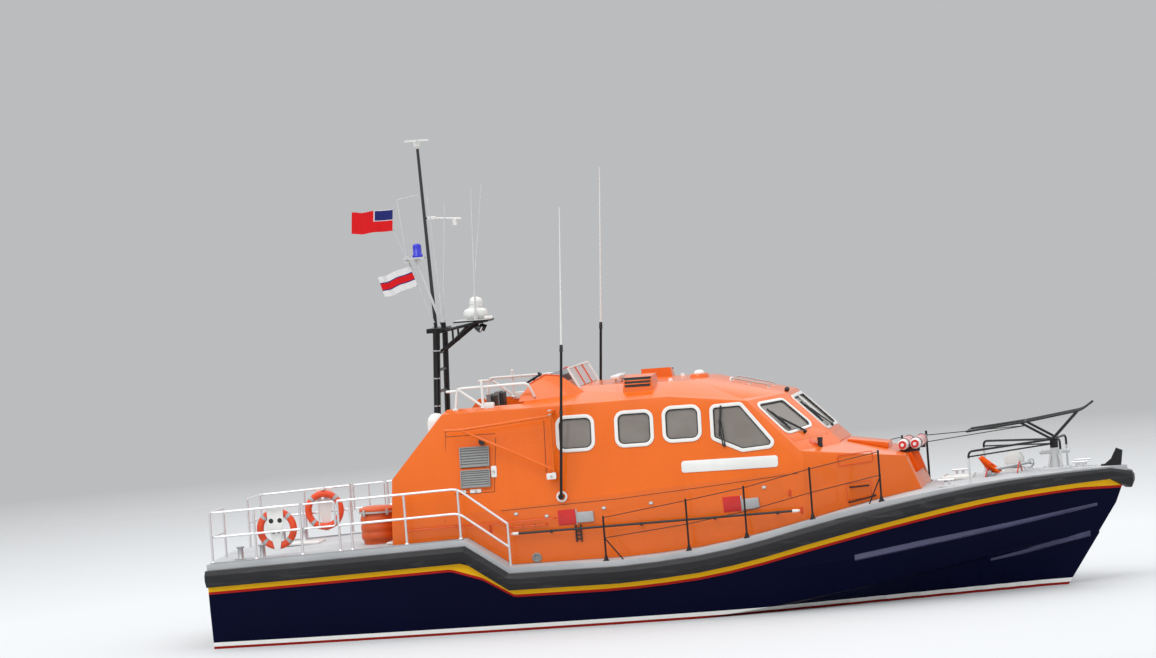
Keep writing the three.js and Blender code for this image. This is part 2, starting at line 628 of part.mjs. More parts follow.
const makeUpperConsole = () => {
  const outline = [[-2300, 4050], [-1760, 4050], [-1760, 4330], [-1900, 4390], [-2290, 4180]];
  return cut(prismXZ(outline, -900, 900), house(-GAP));
};

const makeUpperSeats = () => {
  const z = WELL.floor;
  const parts = [box(-3080, -2780, -620, 620, z + GAP, z + 60)];
  for (const y of [-420, 420]) {
    parts.push(rod([-2930, y, z + 30], [-2930, y, z + 620], 70, 10));
    parts.push(box(-3120, -2700, y - 210, y + 210, z + 600, z + 700));
    parts.push(box(-3140, -3060, y - 210, y + 210, z + 650, z + 1080));
  }
  return join(parts);
};

const TUBE = 24;
const makeUpperHandrail = () => {
  const y = -1600;
  const [aft, fore] = [-3529, -2226];
  const top = 4265;
  const hoop = [
    [aft, y, 3860], [aft + 55, y, top], [fore, y + 100, top + 12], [fore + 90, y + 200, 4020],
  ];
  return cut(
    join(
      pipe(hoop, TUBE),
      rod([aft + 55, y, top], [aft + 576, y, 3860], TUBE),
      rod([aft - 126, y, top - 40], [aft + 45, y, top - 40], TUBE),
      rod([-3033, y + 20, 3860], [-3033, y + 20, 4376], TUBE),
      box(aft + 520, aft + 700, y - 60, y + 60, 3860, 3990),
    ),
    house(-GAP),
  );
};

// Rails

const railFoot = (x, y) => [x, y, deckTopZ(x, y) + GAP];
const RAIL = { post: 22, height: 900, mid: 470 };
const railY = (x) => -(deckEdgeY(x) - 110);
const GATE_X = [-6270, -5700];
const AFT_POSTS = [-7990, -7180, -6330];
const railLineY = (x) => linear(AFT_POSTS.map((post) => [post, railY(post)]), x);

const makeAftRail = () => {
  const at = (x, height) => [x, railY(x), deckTopZ(x, railY(x)) + height];
  const corner = AFT_POSTS[0];
  const forePosts = [-5640, -5420, -4436, -3466];
  const parts = [...AFT_POSTS, ...forePosts].map((x) => {
    const height = RAIL.height + (x === AFT_POSTS[2] ? 35 : 0);
    return rod(railFoot(x, railY(x)), at(x, height), RAIL.post);
  });
  for (const height of [RAIL.height, RAIL.mid]) {
    const end = [corner, -1000, at(corner, height)[2]];
    parts.push(pipe([end, ...AFT_POSTS.map((x) => at(x, height))], RAIL.post));
    const low = height === RAIL.height ? 760 : 350;
    parts.push(pipe([at(-5640, height), at(-4436, height), at(-3466, height), at(-2620, low)], RAIL.post));
  }
  parts.push(rod(railFoot(-2620, railY(-2620)), at(-2620, 765), RAIL.post));
  parts.push(rod(railFoot(corner, -1000), [corner, -1000, at(corner, RAIL.height)[2]], RAIL.post));
  // a kerb plate on the deck edge carries both lengths
  const kerb = loft(
    [corner - 40, -7180, -6330, -5420, -4500, -3430].map((x) => {
      const y = railY(x);
      const z = deckTopZ(x, y) + GAP;
      return [[x, y - 45, z], [x, y + 45, z + 3], [x, y + 45, z + 26], [x, y - 45, z + 23]];
    }),
  );
  const [hingeX, post] = [GATE_X[0], AFT_POSTS[2]];
  for (const height of [RAIL.height + 24, RAIL.mid - 24]) {
    const [x, y, z] = at(hingeX, height);
    parts.push(box(post, x + 14, y - 14, y + 14, z - 5, z + 5));
  }
  return cut(join(join(parts), kerb), deckSolid(25, -DECK_THICK, GAP));
};

const makeRailGate = () => {
  const [aft, fore] = GATE_X;
  const at = (x, height) => [x, railY(x), deckTopZ(x, railY(x)) + height];
  const [top, mid] = [RAIL.height, RAIL.mid];
  const hinge = rod(at(aft, mid - 18.4), at(aft, top + 18.4), 17, 8);
  const frame = pipe([at(aft, top), at(fore, top), at(fore, mid), at(aft, mid)], 16);
  const middle = (aft + fore) / 2;
  return join(frame, hinge, rod(at(middle, mid), at(middle, top), 13));
};

// Black stanchions along the side deck, with two guard wires
const STANCHIONS = [[-900, 770], [564, 890], [1585, 890], [2740, 890], [3930, 880]];
const makeGuardRail = () => {
  const lean = -20;
  const foot = (x) => [x, railY(x) - 20, deckTopZ(x, railY(x) - 20) + GAP];
  const at = ([x, height], share) => {
    const [fx, fy, fz] = foot(x);
    return [fx + lean * share, fy, fz + height * share];
  };
  const parts = STANCHIONS.flatMap(([x, height]) => [
    rod(foot(x), at([x, height], 1), 17),
    rod(foot(x), at([x, 70], 1), 42),
  ]);
  for (const share of [0.98, 0.52]) parts.push(pipe(STANCHIONS.map((post) => at(post, share)), 7, 6));
  parts.push(rod(at(STANCHIONS[0], 0.5), foot(-600), 12));
  parts.push(rod(at(STANCHIONS[4], 0.5), foot(3720), 12));
  return cut(join(parts), deckSolid(25, -DECK_THICK, GAP));
};

// Bow

const BOW_POST_X = 6800;
const BOW_FRAME_HALF = 330;
const makeBowFrame = () => {
  const x = BOW_POST_X;
  const base = deckTopZ(x, 0);
  const parts = [
    rod([x, 0, base - 5], [x, 0, base + 560], 75, 12),
    rod([x - 230, 0, base + 300], [x + 230, 0, base + 300], 35),
    rod([x, -340, base + 540], [x, 340, base + 540], 26),
    box(x - 260, x + 260, -260, 260, base - 60, base + 25),
  ];
  for (const side of [-1, 1]) {
    const y = side * BOW_FRAME_HALF;
    const rail = [
      [5320, y * 1.3, base + 780], [x - 480, y, base + 870],
      [x + 540, y * 0.8, base + 1010], [x + 720, y * 0.7, base + 1130],
    ];
    parts.push(pipe(rail, 20));
    parts.push(rod([x, y, base + 540], [x - 530, y, base + 865], 22));
    parts.push(rod([x, y, base + 540], [x + 470, y * 0.82, base + 1000], 22));
    const above = (postX, inset, height) => {
      const edge = deckEdgeY(postX) - inset;
      return [postX, side * edge, deckTopZ(postX, edge) + height];
    };
    const head = (back, height) => [x - back, side * 30, base + height];
    parts.push(pipe([above(5420, 130, -20), above(5420, 130, 560), head(40, 520)], 20));
    parts.push(pipe([above(5420, 130, 470), head(40, 440)], 14));
    parts.push(pipe([above(6960, 110, -20), above(6960, 110, 560), head(0, 525)], 20));
  }
  return cut(join(parts), deckSolid(25, -DECK_THICK - 200, GAP));
};

const makeStemFairlead = () => {
  const z = deckTopZ(7860, 0) + GAP;
  const outline = [[7620, z], [7950, z], [7990, z + 250], [7880, z + 300], [7780, z + 120]];
  const [near, far] = [-45, 45].map((y) => prismXZ(outline, y - 15, y + 15));
  const roller = rod([7900, -45, z + 170], [7900, 45, z + 170], 55, 12);
  const base = box(7600, 7950, -60, 60, z - 30, z + 30);
  return cut(join(near, far, roller, base), deckSolid(25, -DECK_THICK - 200, GAP * 2));
};

const makeAnchor = () => {
  const z = deckTopZ(5750, 0) + 50;
  const y = -220;
  const shank = rod([5650, y, z + 30], [6380, -60, z + 120], 32);
  const fluke = (side) =>
    hullOf([
      [5650, y + side * 30, z - 20], [5650, y + side * 30, z + 30],
      [5520, y + side * 190, z + 290], [5480, y + side * 190, z + 280],
      [5850, y + side * 200, z - 20], [5850, y + side * 180, z + 20],
    ]);
  const crown = rod([5670, y - 220, z + 10], [5670, y + 220, z + 10], 36);
  const chock = box(5590, 5760, y - 200, y + 200, z - 60, z);
  return cut(join(shank, fluke(1), fluke(-1), crown, chock), deckSolid(25, -300, GAP));
};

const makeWindlass = () => {
  const z = deckTopZ(6050, 250);
  const parts = [
    box(5880, 6230, 130, 560, z - 60, z + 60),
    rod([6050, 120, z + 190], [6050, 600, z + 190], 110, 14),
    rod([6050, 200, z + 190], [6050, 260, z + 190], 165, 14),
    rod([6050, 470, z + 190], [6050, 520, z + 190], 165, 14),
    box(5950, 6150, 280, 450, z + 50, z + 330),
  ];
  return cut(join(parts), deckSolid(25, -300, GAP));
};

// Engine room intake grille, raised on each side of the house
const GRILLE = { x0: -3461, x1: -2941, z0: 2513, z1: 3267, frame: 35, proud: 32 };
const makeGrilles = () => {
  const { x0, x1, z0, z1, frame, proud } = GRILLE;
  const bars = [
    [x0, x1, z0, z0 + frame], [x0, x1, z1 - frame, z1],
    [x0, x0 + frame, z0, z1], [x1 - frame, x1, z0, z1],
  ];
  for (let z = z0 + 85; z < z1 - 60; z += 62) bars.push([x0, x1, z, z + 26]);
  const across = join(bars.map(([xa, xb, za, zb]) => box(xa, xb, -2400, 2400, za, zb)));
  return cut(across.intersect(house(-proud)), house(1));
};

// Side aerials and recovery davits

const AERIAL = { x: -1669, footZ: 2281 };
const makeSideAerial = (change, top) => {
  const y = -2190;
  const lean = 0.08;
  const [neck, tip] = [change, top].map((z) => [AERIAL.x + (z - AERIAL.footZ) * lean, y, z]);
  const foot = [AERIAL.x, y, AERIAL.footZ];
  return join(
    rod(foot, neck, 26, 8, 24),
    rod(neck, [tip[0] - 30, y - 20, top], 18, 8, 8),
    rod([AERIAL.x, y - 40, AERIAL.footZ], [AERIAL.x, y + 55, AERIAL.footZ], 45, 10),
  );
};
const makeAerialFoot = () =>
  cut(
    join(
      rod([AERIAL.x, -2110, AERIAL.footZ], [AERIAL.x, -1990, AERIAL.footZ], 95, 14),
      rod([AERIAL.x, -2135 + GAP, AERIAL.footZ], [AERIAL.x, -1990, AERIAL.footZ], 60, 14),
    ),
    house(1),
  );

const DAVIT = { x: -1770, y: -2125, topZ: 3740, baseZ: 2700, reach: 1900 };
const makeDavit = () => {
  const { x, y, topZ, baseZ, reach } = DAVIT;
  return join(
    rod([x, y, baseZ], [x, y, topZ], 30, 10),
    pipe([[x, y, topZ - 40], [x - reach * 0.82, y, 3570], [x - reach, y, 3570]], 24),
    rod([x, y, baseZ + 60], [x - reach * 0.84, y, 3560], 24),
  );
};
const makeDavitBearings = () => {
  const { x, y, topZ, baseZ } = DAVIT;
  const lug = (z) => {
    const arm = box(x - 45, x + 45, y - 42, y + 330, z - 25, z + 25);
    return join(arm, rod([x, y, z - 25], [x, y, z + 25], 46, 12));
  };
  return cut(join(lug(baseZ - 25 - GAP), lug(topZ + 25 + GAP)), house(1));
};

// Mast, hinged at its foot to fold aft

const MAST = { x: -4110, hinge: 3110, half: 560, head: 5290, lean: 120 };
const makeMastLugs = () => {
  const lug = (y) => box(MAST.x - 90, MAST.x + 90, y - 20, y + 20, WELL.floor - 20, MAST.hinge + 70);
  const offset = 80 + GAP;
  return [-1, 1].flatMap((side) => [lug(side * (MAST.half + offset)), lug(side * (MAST.half - offset))]);
};
const PLATFORM = { x0: -3690, x1: -3055, half: 300, z: 5375, thick: 35 };
const makeMastFrame = () => {
  const { x, hinge, half, head, lean } = MAST;
  const headX = x + lean;
  const parts = [];
  for (const side of [-1, 1]) {
    const [y, headY] = [side * half, side * half * 0.8];
    parts.push(rod([x, y, hinge], [headX, headY, head], 52, 10));
    parts.push(rod([x, y - 60, hinge], [x, y + 60, hinge], 62, 12));
    const inner = side * PLATFORM.half * 0.9;
    parts.push(rod([headX - 10, inner, head - 60], [PLATFORM.x1 - 10, inner, PLATFORM.z + 12], 26));
    parts.push(rod([headX - 10, inner, head - 420], [PLATFORM.x1 - 250, inner, PLATFORM.z - 15], 24));
    parts.push(rod([headX + 270, inner, head + 15], [headX + 270, inner, head - 250], 20));
    parts.push(rod([headX + 580, inner, head + 55], [headX + 270, inner, head - 230], 20));
  }
  for (const z of [3700, 4180, 4560, 4870]) {
    const share = (z - hinge) / (head - hinge);
    const y = half * (1 - 0.2 * share);
    parts.push(rod([x + lean * share, -y, z], [x + lean * share, y, z], 28));
  }
  parts.push(box(headX - 170, headX + 120, -half * 0.8, half * 0.8, head - 60, head + 20));
  const { x0, x1, half: reach, z, thick } = PLATFORM;
  parts.push(box(x0, x1, -reach, reach, z, z + thick));
  // the raked spar that carries the blue lamp, with its stay beside it
  parts.push(rod([-3931, 0, head], [-4349, 0, 6570], 26));
  parts.push(rod([-4067, 60, head], [-4495, 60, 6570], 16));
  parts.push(box(x - 440, x - 60, -90, 130, head + 1270, head + 1300));
  return join(parts);
};
const makeMastPole = () => {
  const { x, head } = MAST;
  const foot = [x + 5, 190, head + 21];
  const tip = [x - 73, 190, 8580];
  const yard = [mix(foot, tip, 0.6), [x + 620, 190, 7220]];
  return join(
    rod(foot, tip, 34, 10, 26),
    box(x - 123, x - 23, 140, 240, 8560, 8670),
    box(x - 296, x + 142, 165, 215, 8650, 8680),
    box(x - 98, x - 48, -40, 420, 8650, 8680),
    rod(yard[0], yard[1], 14),
    rod([x + 500, 190, 7220], [x + 500, 190, 7120], 36, 10),
  );
};
const makeMastAerials = (foot, tips, footRadius) =>
  join(
    tips.map((tip) => rod(foot, tip, 20, 8, 10)),
    rod([foot[0], foot[1], foot[2] - 60], [foot[0], foot[1], foot[2] + 80], footRadius, 10),
  );

const RADAR_X = -3330;
const makeRadar = () => {
  const profile = [
    [0, 0], [150, 0], [165, 30], [212, 60], [220, 120], [205, 170], [150, 200],
    [110, 210], [110, 245], [118, 280], [120, 340], [105, 395], [60, 415], [0, 420],
  ];
  return turned(profile, [RADAR_X, 0, PLATFORM.z + PLATFORM.thick + GAP], 20);
};
const makeBlueLamp = () => {
  const profile = [[0, 0], [95, 0], [95, 40], [78, 50], [78, 200], [60, 235], [0, 245]];
  return turned(profile, [MAST.x - 190, 20, MAST.head + 1300 + GAP]);
};

// Flags stream aft; each is a thin solid that waves along its length.
const makeFlag = (hoistTop, hoistBottom, fly, drop) => {
  const steps = 8;
  const half = 5;
  const rings = Array.from({ length: steps + 1 }, (_, i) => {
    const t = i / steps;
    const wave = 55 * Math.sin(t * Math.PI * 2.2) * t;
    const at = ([x, y, z]) => [x - fly * t, y + wave, z - drop * t];
    const [top, bottom] = [at(hoistTop), at(hoistBottom)];
    return [
      [top[0], top[1] - half, top[2]], [top[0], top[1] + half, top[2]],
      [bottom[0], bottom[1] + half, bottom[2]], [bottom[0], bottom[1] - half, bottom[2]],
    ];
  });
  return loft(rings);
};
const makeEnsignStaff = () => {
  const { x, head } = MAST;
  const foot = [x - 380, 0, head + 1290];
  return join(
    rod(foot, [x - 480, 0, 7640], 16),
    pipe([[x - 395, 0, head + 1310], [x - 595, 0, 7108], [x - 560, 0, 7480], [x - 480, 0, 7640]], 9, 6),
    rod([x - 480, 0, 7640], [x - 120, 150, 7690], 7, 6),
    box(x - 430, x - 330, -30, 30, head + 1290, head + 1330),
  );
};

// Propellers and rudders

const makePropeller = (side) => {
  const y = side * SHAFT_Y;
  const hub = rod([PROP_X - 120, y, SHAFT_Z], [PROP_X + 110, y, SHAFT_Z], 75, 16);
  const cone = rod([PROP_X - 119, y, SHAFT_Z], [PROP_X - 240, y, SHAFT_Z], 72, 16, 25);
  const shaft = rod([PROP_X + 100, y, SHAFT_Z], [-5920, y, SHAFT_Z], SHAFT_RADIUS, 24);
  const blades = [0, 1, 2, 3, 4].map((k) => {
    const turn = (k * 2 * Math.PI) / 5;
    const outline = [
      [-70, 60], [70, 60], [150, 200], [120, 330], [20, PROP_RADIUS], [-70, 340], [-130, 190],
    ];
    const shape = new THREE.Shape(outline.map(([u, v]) => new THREE.Vector2(u, v)));
    const blade = new THREE.ExtrudeGeometry(shape, { depth: 18, bevelEnabled: false });
    blade.translate(0, 0, -9);
    blade.rotateY((side * 55 * Math.PI) / 180);
    // outline's v is radial; lay it about the shaft
    blade.applyMatrix4(new THREE.Matrix4().makeBasis(
      new THREE.Vector3(1, 0, 0),
      new THREE.Vector3(0, Math.cos(turn), Math.sin(turn)),
      new THREE.Vector3(0, -Math.sin(turn), Math.cos(turn)),
    ));
    return solid(blade.translate(PROP_X, y, SHAFT_Z));
  });
  return join(hub, cone, shaft, blades);
};

const RUDDER = { lead: 170, trail: -330, foot: -1240, head: -430, thick: 46, edge: 6, taper: 0.88 };
const makeRudder = () => {
  const y = -SHAFT_Y;
  const { lead, trail, foot, head, thick, edge, taper } = RUDDER;
  const halfThickness = (n) => {
    const share = n / (n > 0 ? lead : trail);
    return thick * Math.sqrt(Math.max(0, 1 - share ** 2)) + edge;
  };
  const chord = [lead, 110, 0, -150, trail];
  const section = (z, scale) => {
    const side = (sign) => chord.map((n) => [RUDDER_X + n * scale, y + sign * halfThickness(n), z]);
    return [...side(-1), ...side(1).reverse()];
  };
  const blade = loft([section(foot, taper), section(head, 1)]);
  return join(blade, rod([RUDDER_X, y, -500], [RUDDER_X, y, 80], STOCK_RADIUS, 24));
};

// Loose gear

const LIFEBUOY = { x: -6760, radius: 300, thick: 62, rise: 455, inside: 140 };
const makeLifebuoy = () => {
  const { x, radius, thick, rise, inside } = LIFEBUOY;
  const y = railLineY(x) + inside;
  const z = deckTopZ(x, y) + rise;
  const torus = new THREE.TorusGeometry(radius, thick, 8, 24).rotateX(Math.PI / 2);
  const hook = (height) => box(x - 30, x + 30, railLineY(x), y, z + height - 20, z + height + 20);
  const outline = [[-150, 430], [150, 430], [130, -50], [40, -380], [-40, -380], [-130, -50]];
  const rest = prismXZ(outline.map(([dx, dz]) => [x + dx, z + dz]), y - 15, y + 15);
  const rail = makeAftRail();
  const buoy = join(solid(torus.translate(x, y, z)), rest, hook(425), hook(0));
  return cut(buoy, rail, rail.translate([0, GAP, 0]));
};
const makePumpDrum = () => {
  const foot = [-5130, -1250, deckTopZ(-5130, -1000) + GAP];
  const profile = [
    [0, -40], [290, -40], [300, 60], [330, 110], [330, 440],
    [300, 500], [300, 560], [335, 580], [335, 650], [0, 665],
  ];
  return cut(turned(profile, foot, 20), deckSolid(25, -300, GAP));
};
const makeCanister = () => {
  const profile = [[0, 0], [150, 0], [165, 60], [165, 680], [140, 780], [80, 840], [0, 860]];
  return turned(profile, [-3930, -1380, WELL.floor + GAP]);
};
const makeRoofDome = () => {
  const profile = [
    [0, -60], [180, -60], [165, 20], [150, 62], [92, 66], [90, 90], [68, 118], [0, 130],
  ];
  return cut(turned(profile, [608, 0, 4098]), house(-GAP));
};

// Assembly

const boat = new THREE.Group();
const place = (name, made, material, mirrored = false) => {
  const mesh = new THREE.Mesh(surface(made), material);
  mesh.name = name;
  if (mirrored) mesh.scale.y = -1;
  boat.add(mesh);
};
const placePair = (name, made, material) => {
  place(name + "_starboard", made, material);
  place(name + "_port", made, material, true);
};

const deckCutter = deckSolid(-200, -3000, GAP);
place("hull", makeHull(), NAVY);
const hullTop = mouldedHull().translate([0, 0, GAP]);
place("deck", cut(deckSolid(25, -DECK_THICK + GAP, 0), hullTop), DECK_GREY);
place("belting", makeBelting(), BLACK_RUBBER);
place("stern_door", makeSternDoor(), NAVY);
const shell = splitShell(makeShell(deckCutter));
const fixings = [makeAerialFoot(), makeDavitBearings()];
const grilles = makeGrilles();
const starboardGrille = grilles.intersect(box(-5000, 0, -3000, 0, 0, 5000));
const portGrille = grilles.intersect(box(-5000, 0, 0, 3000, 0, 5000));
const portFixings = fixings.map((fixing) => fixing.mirror([0, 1, 0]));
place("house_side_starboard", join(shell.starboard, fixings, starboardGrille), ORANGE);
place("house_side_port", join(shell.port, portFixings, portGrille), ORANGE);
place("aft_casing", join(shell.casing, makeMastLugs()), ORANGE);
place("wheelhouse_roof", join(shell.roof, makeRoofVents()), ORANGE);
place("wheelhouse_front", shell.front, ORANGE);
place("trunk", shell.trunk, ORANGE);
place("cabin_interior", makeCabinInterior(), INTERIOR);
for (let i = 0; i <= SIDE_WINDOWS.length; i++) {
  placePair("side_window_" + (i + 1), sideWindowPrism(i, GAP).intersect(glassLayer()), GLAZING);
}
placePair("windscreen_quarter", facetPrism(quarterPane(), GAP * 2).intersect(glassLayer()), GLAZING);
place("windscreen_centre", facetPrism(centrePane(), GAP * 2).intersect(glassLayer()), GLAZING);
place("cabin_door", makeDoor(), ORANGE);
place("fore_hatch", cut(makeForeHatch(), trunk(-GAP), house(-GAP)), ORANGE);
const coaming = makeCoaming();
const seatedScreen = cut(makeUpperWindscreen(), house(-5), coaming, coaming.translate([0, 0, GAP]));
place("upper_coaming", coaming, ORANGE);
place("upper_windscreen", seatedScreen, GLAZING);
place("upper_console", cut(makeUpperConsole(), coaming), INTERIOR);
place("upper_seats", makeUpperSeats(), INTERIOR);
placePair("upper_handrail", cut(makeUpperHandrail(), coaming), WHITE);
placePair("aft_rail", makeAftRail(), STEEL);
placePair("rail_gate", makeRailGate(), STEEL);
placePair("guard_rail", makeGuardRail(), BLACK_PAINT);
place("bow_frame", makeBowFrame(), BLACK_PAINT);
place("stem_fairlead", makeStemFairlead(), BLACK_PAINT);
place("anchor", makeAnchor(), BUOY_ORANGE);
place("windlass", makeWindlass(), WHITE);
place("side_aerial_starboard", makeSideAerial(4914, 7335), BLACK_PAINT);
place("side_aerial_port", makeSideAerial(5095, 7920), BLACK_PAINT, true);
placePair("recovery_davit", makeDavit(), ORANGE);
const mastAerials = [
  makeMastAerials([-3905, -120, 5360], [[-3976, -330, 7792], [-3744, 60, 7519]], 45),
  makeMastAerials([-3283, -272, 5450], [[-3189, -272, 7735]], 34),
  makeMastAerials([-3443, 272, 5450], [[-3089, 272, 7800]], 34),
];
const mastFrame = join(makeMastFrame(), mastAerials, makeEnsignStaff());
const mastRig = join(mastFrame, mastFrame.translate([-GAP, 0, 0]));
place("mast_frame", mastFrame, BLACK_PAINT);
place("mast_pole", makeMastPole(), BLACK_PAINT);
place("radar_scanner", makeRadar(), WHITE);
place("blue_lamp", makeBlueLamp(), LAMP_BLUE);
const ensign = makeFlag([-4672, 0, 7480], [-4707, 0, 7095], 780, 20);
const houseFlag = makeFlag([-4466, 50, 6450], [-4366, 50, 6085], 620, 185);
place("ensign", cut(ensign, mastRig), FLAG_RED);
place("house_flag", cut(houseFlag, mastRig), FLAG_WHITE);
place("propeller_starboard", makePropeller(-1), BRONZE);
place("propeller_port", makePropeller(1), BRONZE);
placePair("rudder", makeRudder(), BRONZE);
placePair("lifebuoy", makeLifebuoy(), BUOY_ORANGE);
place("pump_drum", makePumpDrum(), BUOY_ORANGE);
place("float_free_canister", makeCanister(), WHITE);
place("roof_dome", makeRoofDome(), WHITE);

export default boat;
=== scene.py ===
# %% [markdown]
# # Dressing an all-weather lifeboat
# The CAD model gives every solid of the boat its true size and place. This lesson keeps that frame
# and adds what makes it look real: paint, glass, rubber and cloth, and the many small fittings that
# are bolted to such a boat. Each piece is tied to the CAD body that carries it, so that the mast,
# doors and aerials still move. The origin is amidships on the waterline, with +X to the bow, +Y to
# port and +Z up, in metres.

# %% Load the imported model
import json
import math

import bmesh
import bpy
from mathutils import Matrix, Vector
from mathutils.bvhtree import BVHTree


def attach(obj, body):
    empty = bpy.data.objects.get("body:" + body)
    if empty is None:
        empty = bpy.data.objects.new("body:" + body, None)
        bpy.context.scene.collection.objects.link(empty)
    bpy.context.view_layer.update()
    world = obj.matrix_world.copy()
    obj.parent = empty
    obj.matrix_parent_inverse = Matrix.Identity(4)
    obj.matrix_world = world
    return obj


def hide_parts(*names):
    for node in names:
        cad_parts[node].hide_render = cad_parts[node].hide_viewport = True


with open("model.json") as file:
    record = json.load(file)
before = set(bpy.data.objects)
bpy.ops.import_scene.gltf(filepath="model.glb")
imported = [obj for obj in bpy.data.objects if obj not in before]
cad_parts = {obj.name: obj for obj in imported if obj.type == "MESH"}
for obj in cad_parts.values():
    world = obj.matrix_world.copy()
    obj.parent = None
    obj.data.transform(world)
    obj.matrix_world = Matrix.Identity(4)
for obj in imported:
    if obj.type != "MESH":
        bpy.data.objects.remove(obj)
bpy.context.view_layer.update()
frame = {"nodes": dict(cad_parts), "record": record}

# %% [markdown]
# ## The camera
# A long lens from far off flattens the boat as a spectator's telephoto does. The view is set by
# angles round the boat, a distance and a scale. The boat is heeled by its own speed in the picture,
# which is made here by rolling the camera, so that the model itself stays level.

# %% Aim the camera
IMAGE_WIDTH = 1156
SENSOR = 36
PIXELS_PER_METRE = 56.188
DISTANCE = 110.0
AZIMUTH, ELEVATION, ROLL = (math.radians(angle) for angle in (9.5, 2.2, 4.5))
AIM = Vector((-1.50365, 0.0, 5.10322))

back = Vector((
    math.sin(AZIMUTH) * math.cos(ELEVATION),
    -math.cos(AZIMUTH) * math.cos(ELEVATION),
    math.sin(ELEVATION),
))
right = (-back).cross(Vector((0, 0, 1))).normalized()
above = right.cross(-back)
across = right * math.cos(ROLL) - above * math.sin(ROLL)
upward = right * math.sin(ROLL) + above * math.cos(ROLL)
camera = bpy.data.objects.new("camera", bpy.data.cameras.new("camera"))
bpy.context.scene.collection.objects.link(camera)
camera.data.sensor_width = SENSOR
camera.data.lens = SENSOR * PIXELS_PER_METRE * DISTANCE / IMAGE_WIDTH
camera.data.clip_end = 1000
camera.matrix_world = Matrix.Translation(AIM + back * DISTANCE) @ Matrix(
    (across, upward, back)
).transposed().to_4x4()
bpy.context.scene.camera = camera
print("lens", round(camera.data.lens, 1), "mm")

# %% [markdown]
# ## A language for materials
# A shader graph is easier to read as a formula. The class below wraps one output socket, and its
# operators add Math nodes, so that a mask can be written as an ordinary expression. Everything else
# goes through one method that makes a node, sets its options and fills its sockets.

# %% Wrap sockets and surfaces


class Signal:
    """A node's output, on which plus, minus, times and the comparisons add Math nodes."""

    def __init__(self, paint, socket):
        self.paint = paint
        self.socket = socket

    def maths(self, operation, first, second):
        return self.paint.node("ShaderNodeMath", {"operation": operation}, {0: first, 1: second})

    def __add__(self, other):
        return self.maths("ADD", self, other)

    def __sub__(self, other):
        return self.maths("SUBTRACT", self, other)

    def __rsub__(self, other):
        return self.maths("SUBTRACT", other, self)

    def __mul__(self, other):
        return self.maths("MULTIPLY", self, other)

    def __gt__(self, other):
        return self.maths("GREATER_THAN", self, other)

    def __lt__(self, other):
        return self.maths("LESS_THAN", self, other)

    __radd__ = __add__
    __rmul__ = __mul__


class Paint:
    """A material with one Principled surface. Plain numbers are set on its sockets."""

    def __init__(self, name, **plain):
        self.slot = None
        self.material = bpy.data.materials.new(name)
        self.material.use_nodes = True
        self.tree = self.material.node_tree
        self.shader = self.tree.nodes["Principled BSDF"]
        for socket, value in plain.items():
            title = socket.replace("_", " ").title().replace("Ior", "IOR")
            self.shader.inputs[title].default_value = value

    def node(self, kind, settings=None, sockets=None, output=0):
        made = self.tree.nodes.new(kind)
        for name, value in (settings or {}).items():
            if name == "stops":
                self.set_stops(made.color_ramp, value)
            elif name == "curve":
                self.set_curve(made.mapping, value)
            else:
                setattr(made, name, value)
        for name, value in (sockets or {}).items():
            if isinstance(value, Signal):
                self.tree.links.new(value.socket, made.inputs[name])
            else:
                made.inputs[name].default_value = value
        return Signal(self, made.outputs[output])

    @staticmethod
    def set_stops(ramp, stops):
        while len(ramp.elements) < len(stops):
            ramp.elements.new(1.0)
        for element, (position, grey) in zip(ramp.elements, stops):
            element.position = position
            element.color = (grey, grey, grey, 1)

    @staticmethod
    def set_curve(mapping, points):
        curve = mapping.curves[0]
        while len(curve.points) < len(points):
            curve.points.new(0.5, 0.5)
        for point, place in zip(curve.points, points):
            point.location = place
            point.handle_type = "VECTOR"
        mapping.update()

    def place(self, stretch=(1, 1, 1)):
        """Where the point is on the boat, in metres."""
        spot = self.node("ShaderNodeTexCoord", output="Object")
        return self.node("ShaderNodeMapping", {}, {"Vector": spot, "Scale": stretch})

    def noise(self, scale, detail=3.0, stretch=(1, 1, 1)):
        return self.node(
            "ShaderNodeTexNoise", {}, {"Vector": self.place(stretch), "Scale": scale, "Detail": detail}
        )

    def ramp(self, signal, stops):
        return self.node("ShaderNodeValToRGB", {"stops": stops}, {"Fac": signal})

    def mixed(self, factor, first, second):
        """One colour over another. A plain colour is three numbers."""
        first, second = (c if isinstance(c, Signal) else (*c, 1) for c in (first, second))
        return self.node("ShaderNodeMix", {"data_type": "RGBA"}, {0: factor, 6: first, 7: second}, 2)

    def height(self):
        """How high the point is over the waterline, with the boat as drawn."""
        return self.node("ShaderNodeSeparateXYZ", {}, {"Vector": self.place()}, output=2)

    def bump(self, height, distance, strength=1.0):
        sockets = {"Height": height, "Distance": distance, "Strength": strength}
        return self.node("ShaderNodeBump", {}, sockets)

    def feed(self, **sockets):
        for name, signal in sockets.items():
            target = self.shader.inputs[name.replace("_", " ")]
            self.tree.links.new(signal.socket, target)
        return self


print("materials are written as expressions")

# %% [markdown]
# ## Gelcoat and gloss paint
# The wheelhouse is moulded in orange and then polished. Its colour is never quite even: it clouds
# a little over a metre, and rain draws faint streaks down it. Close to, the gloss has the slight
# ripple of sprayed paint. One recipe with a few numbers serves all the gloss paints on board.

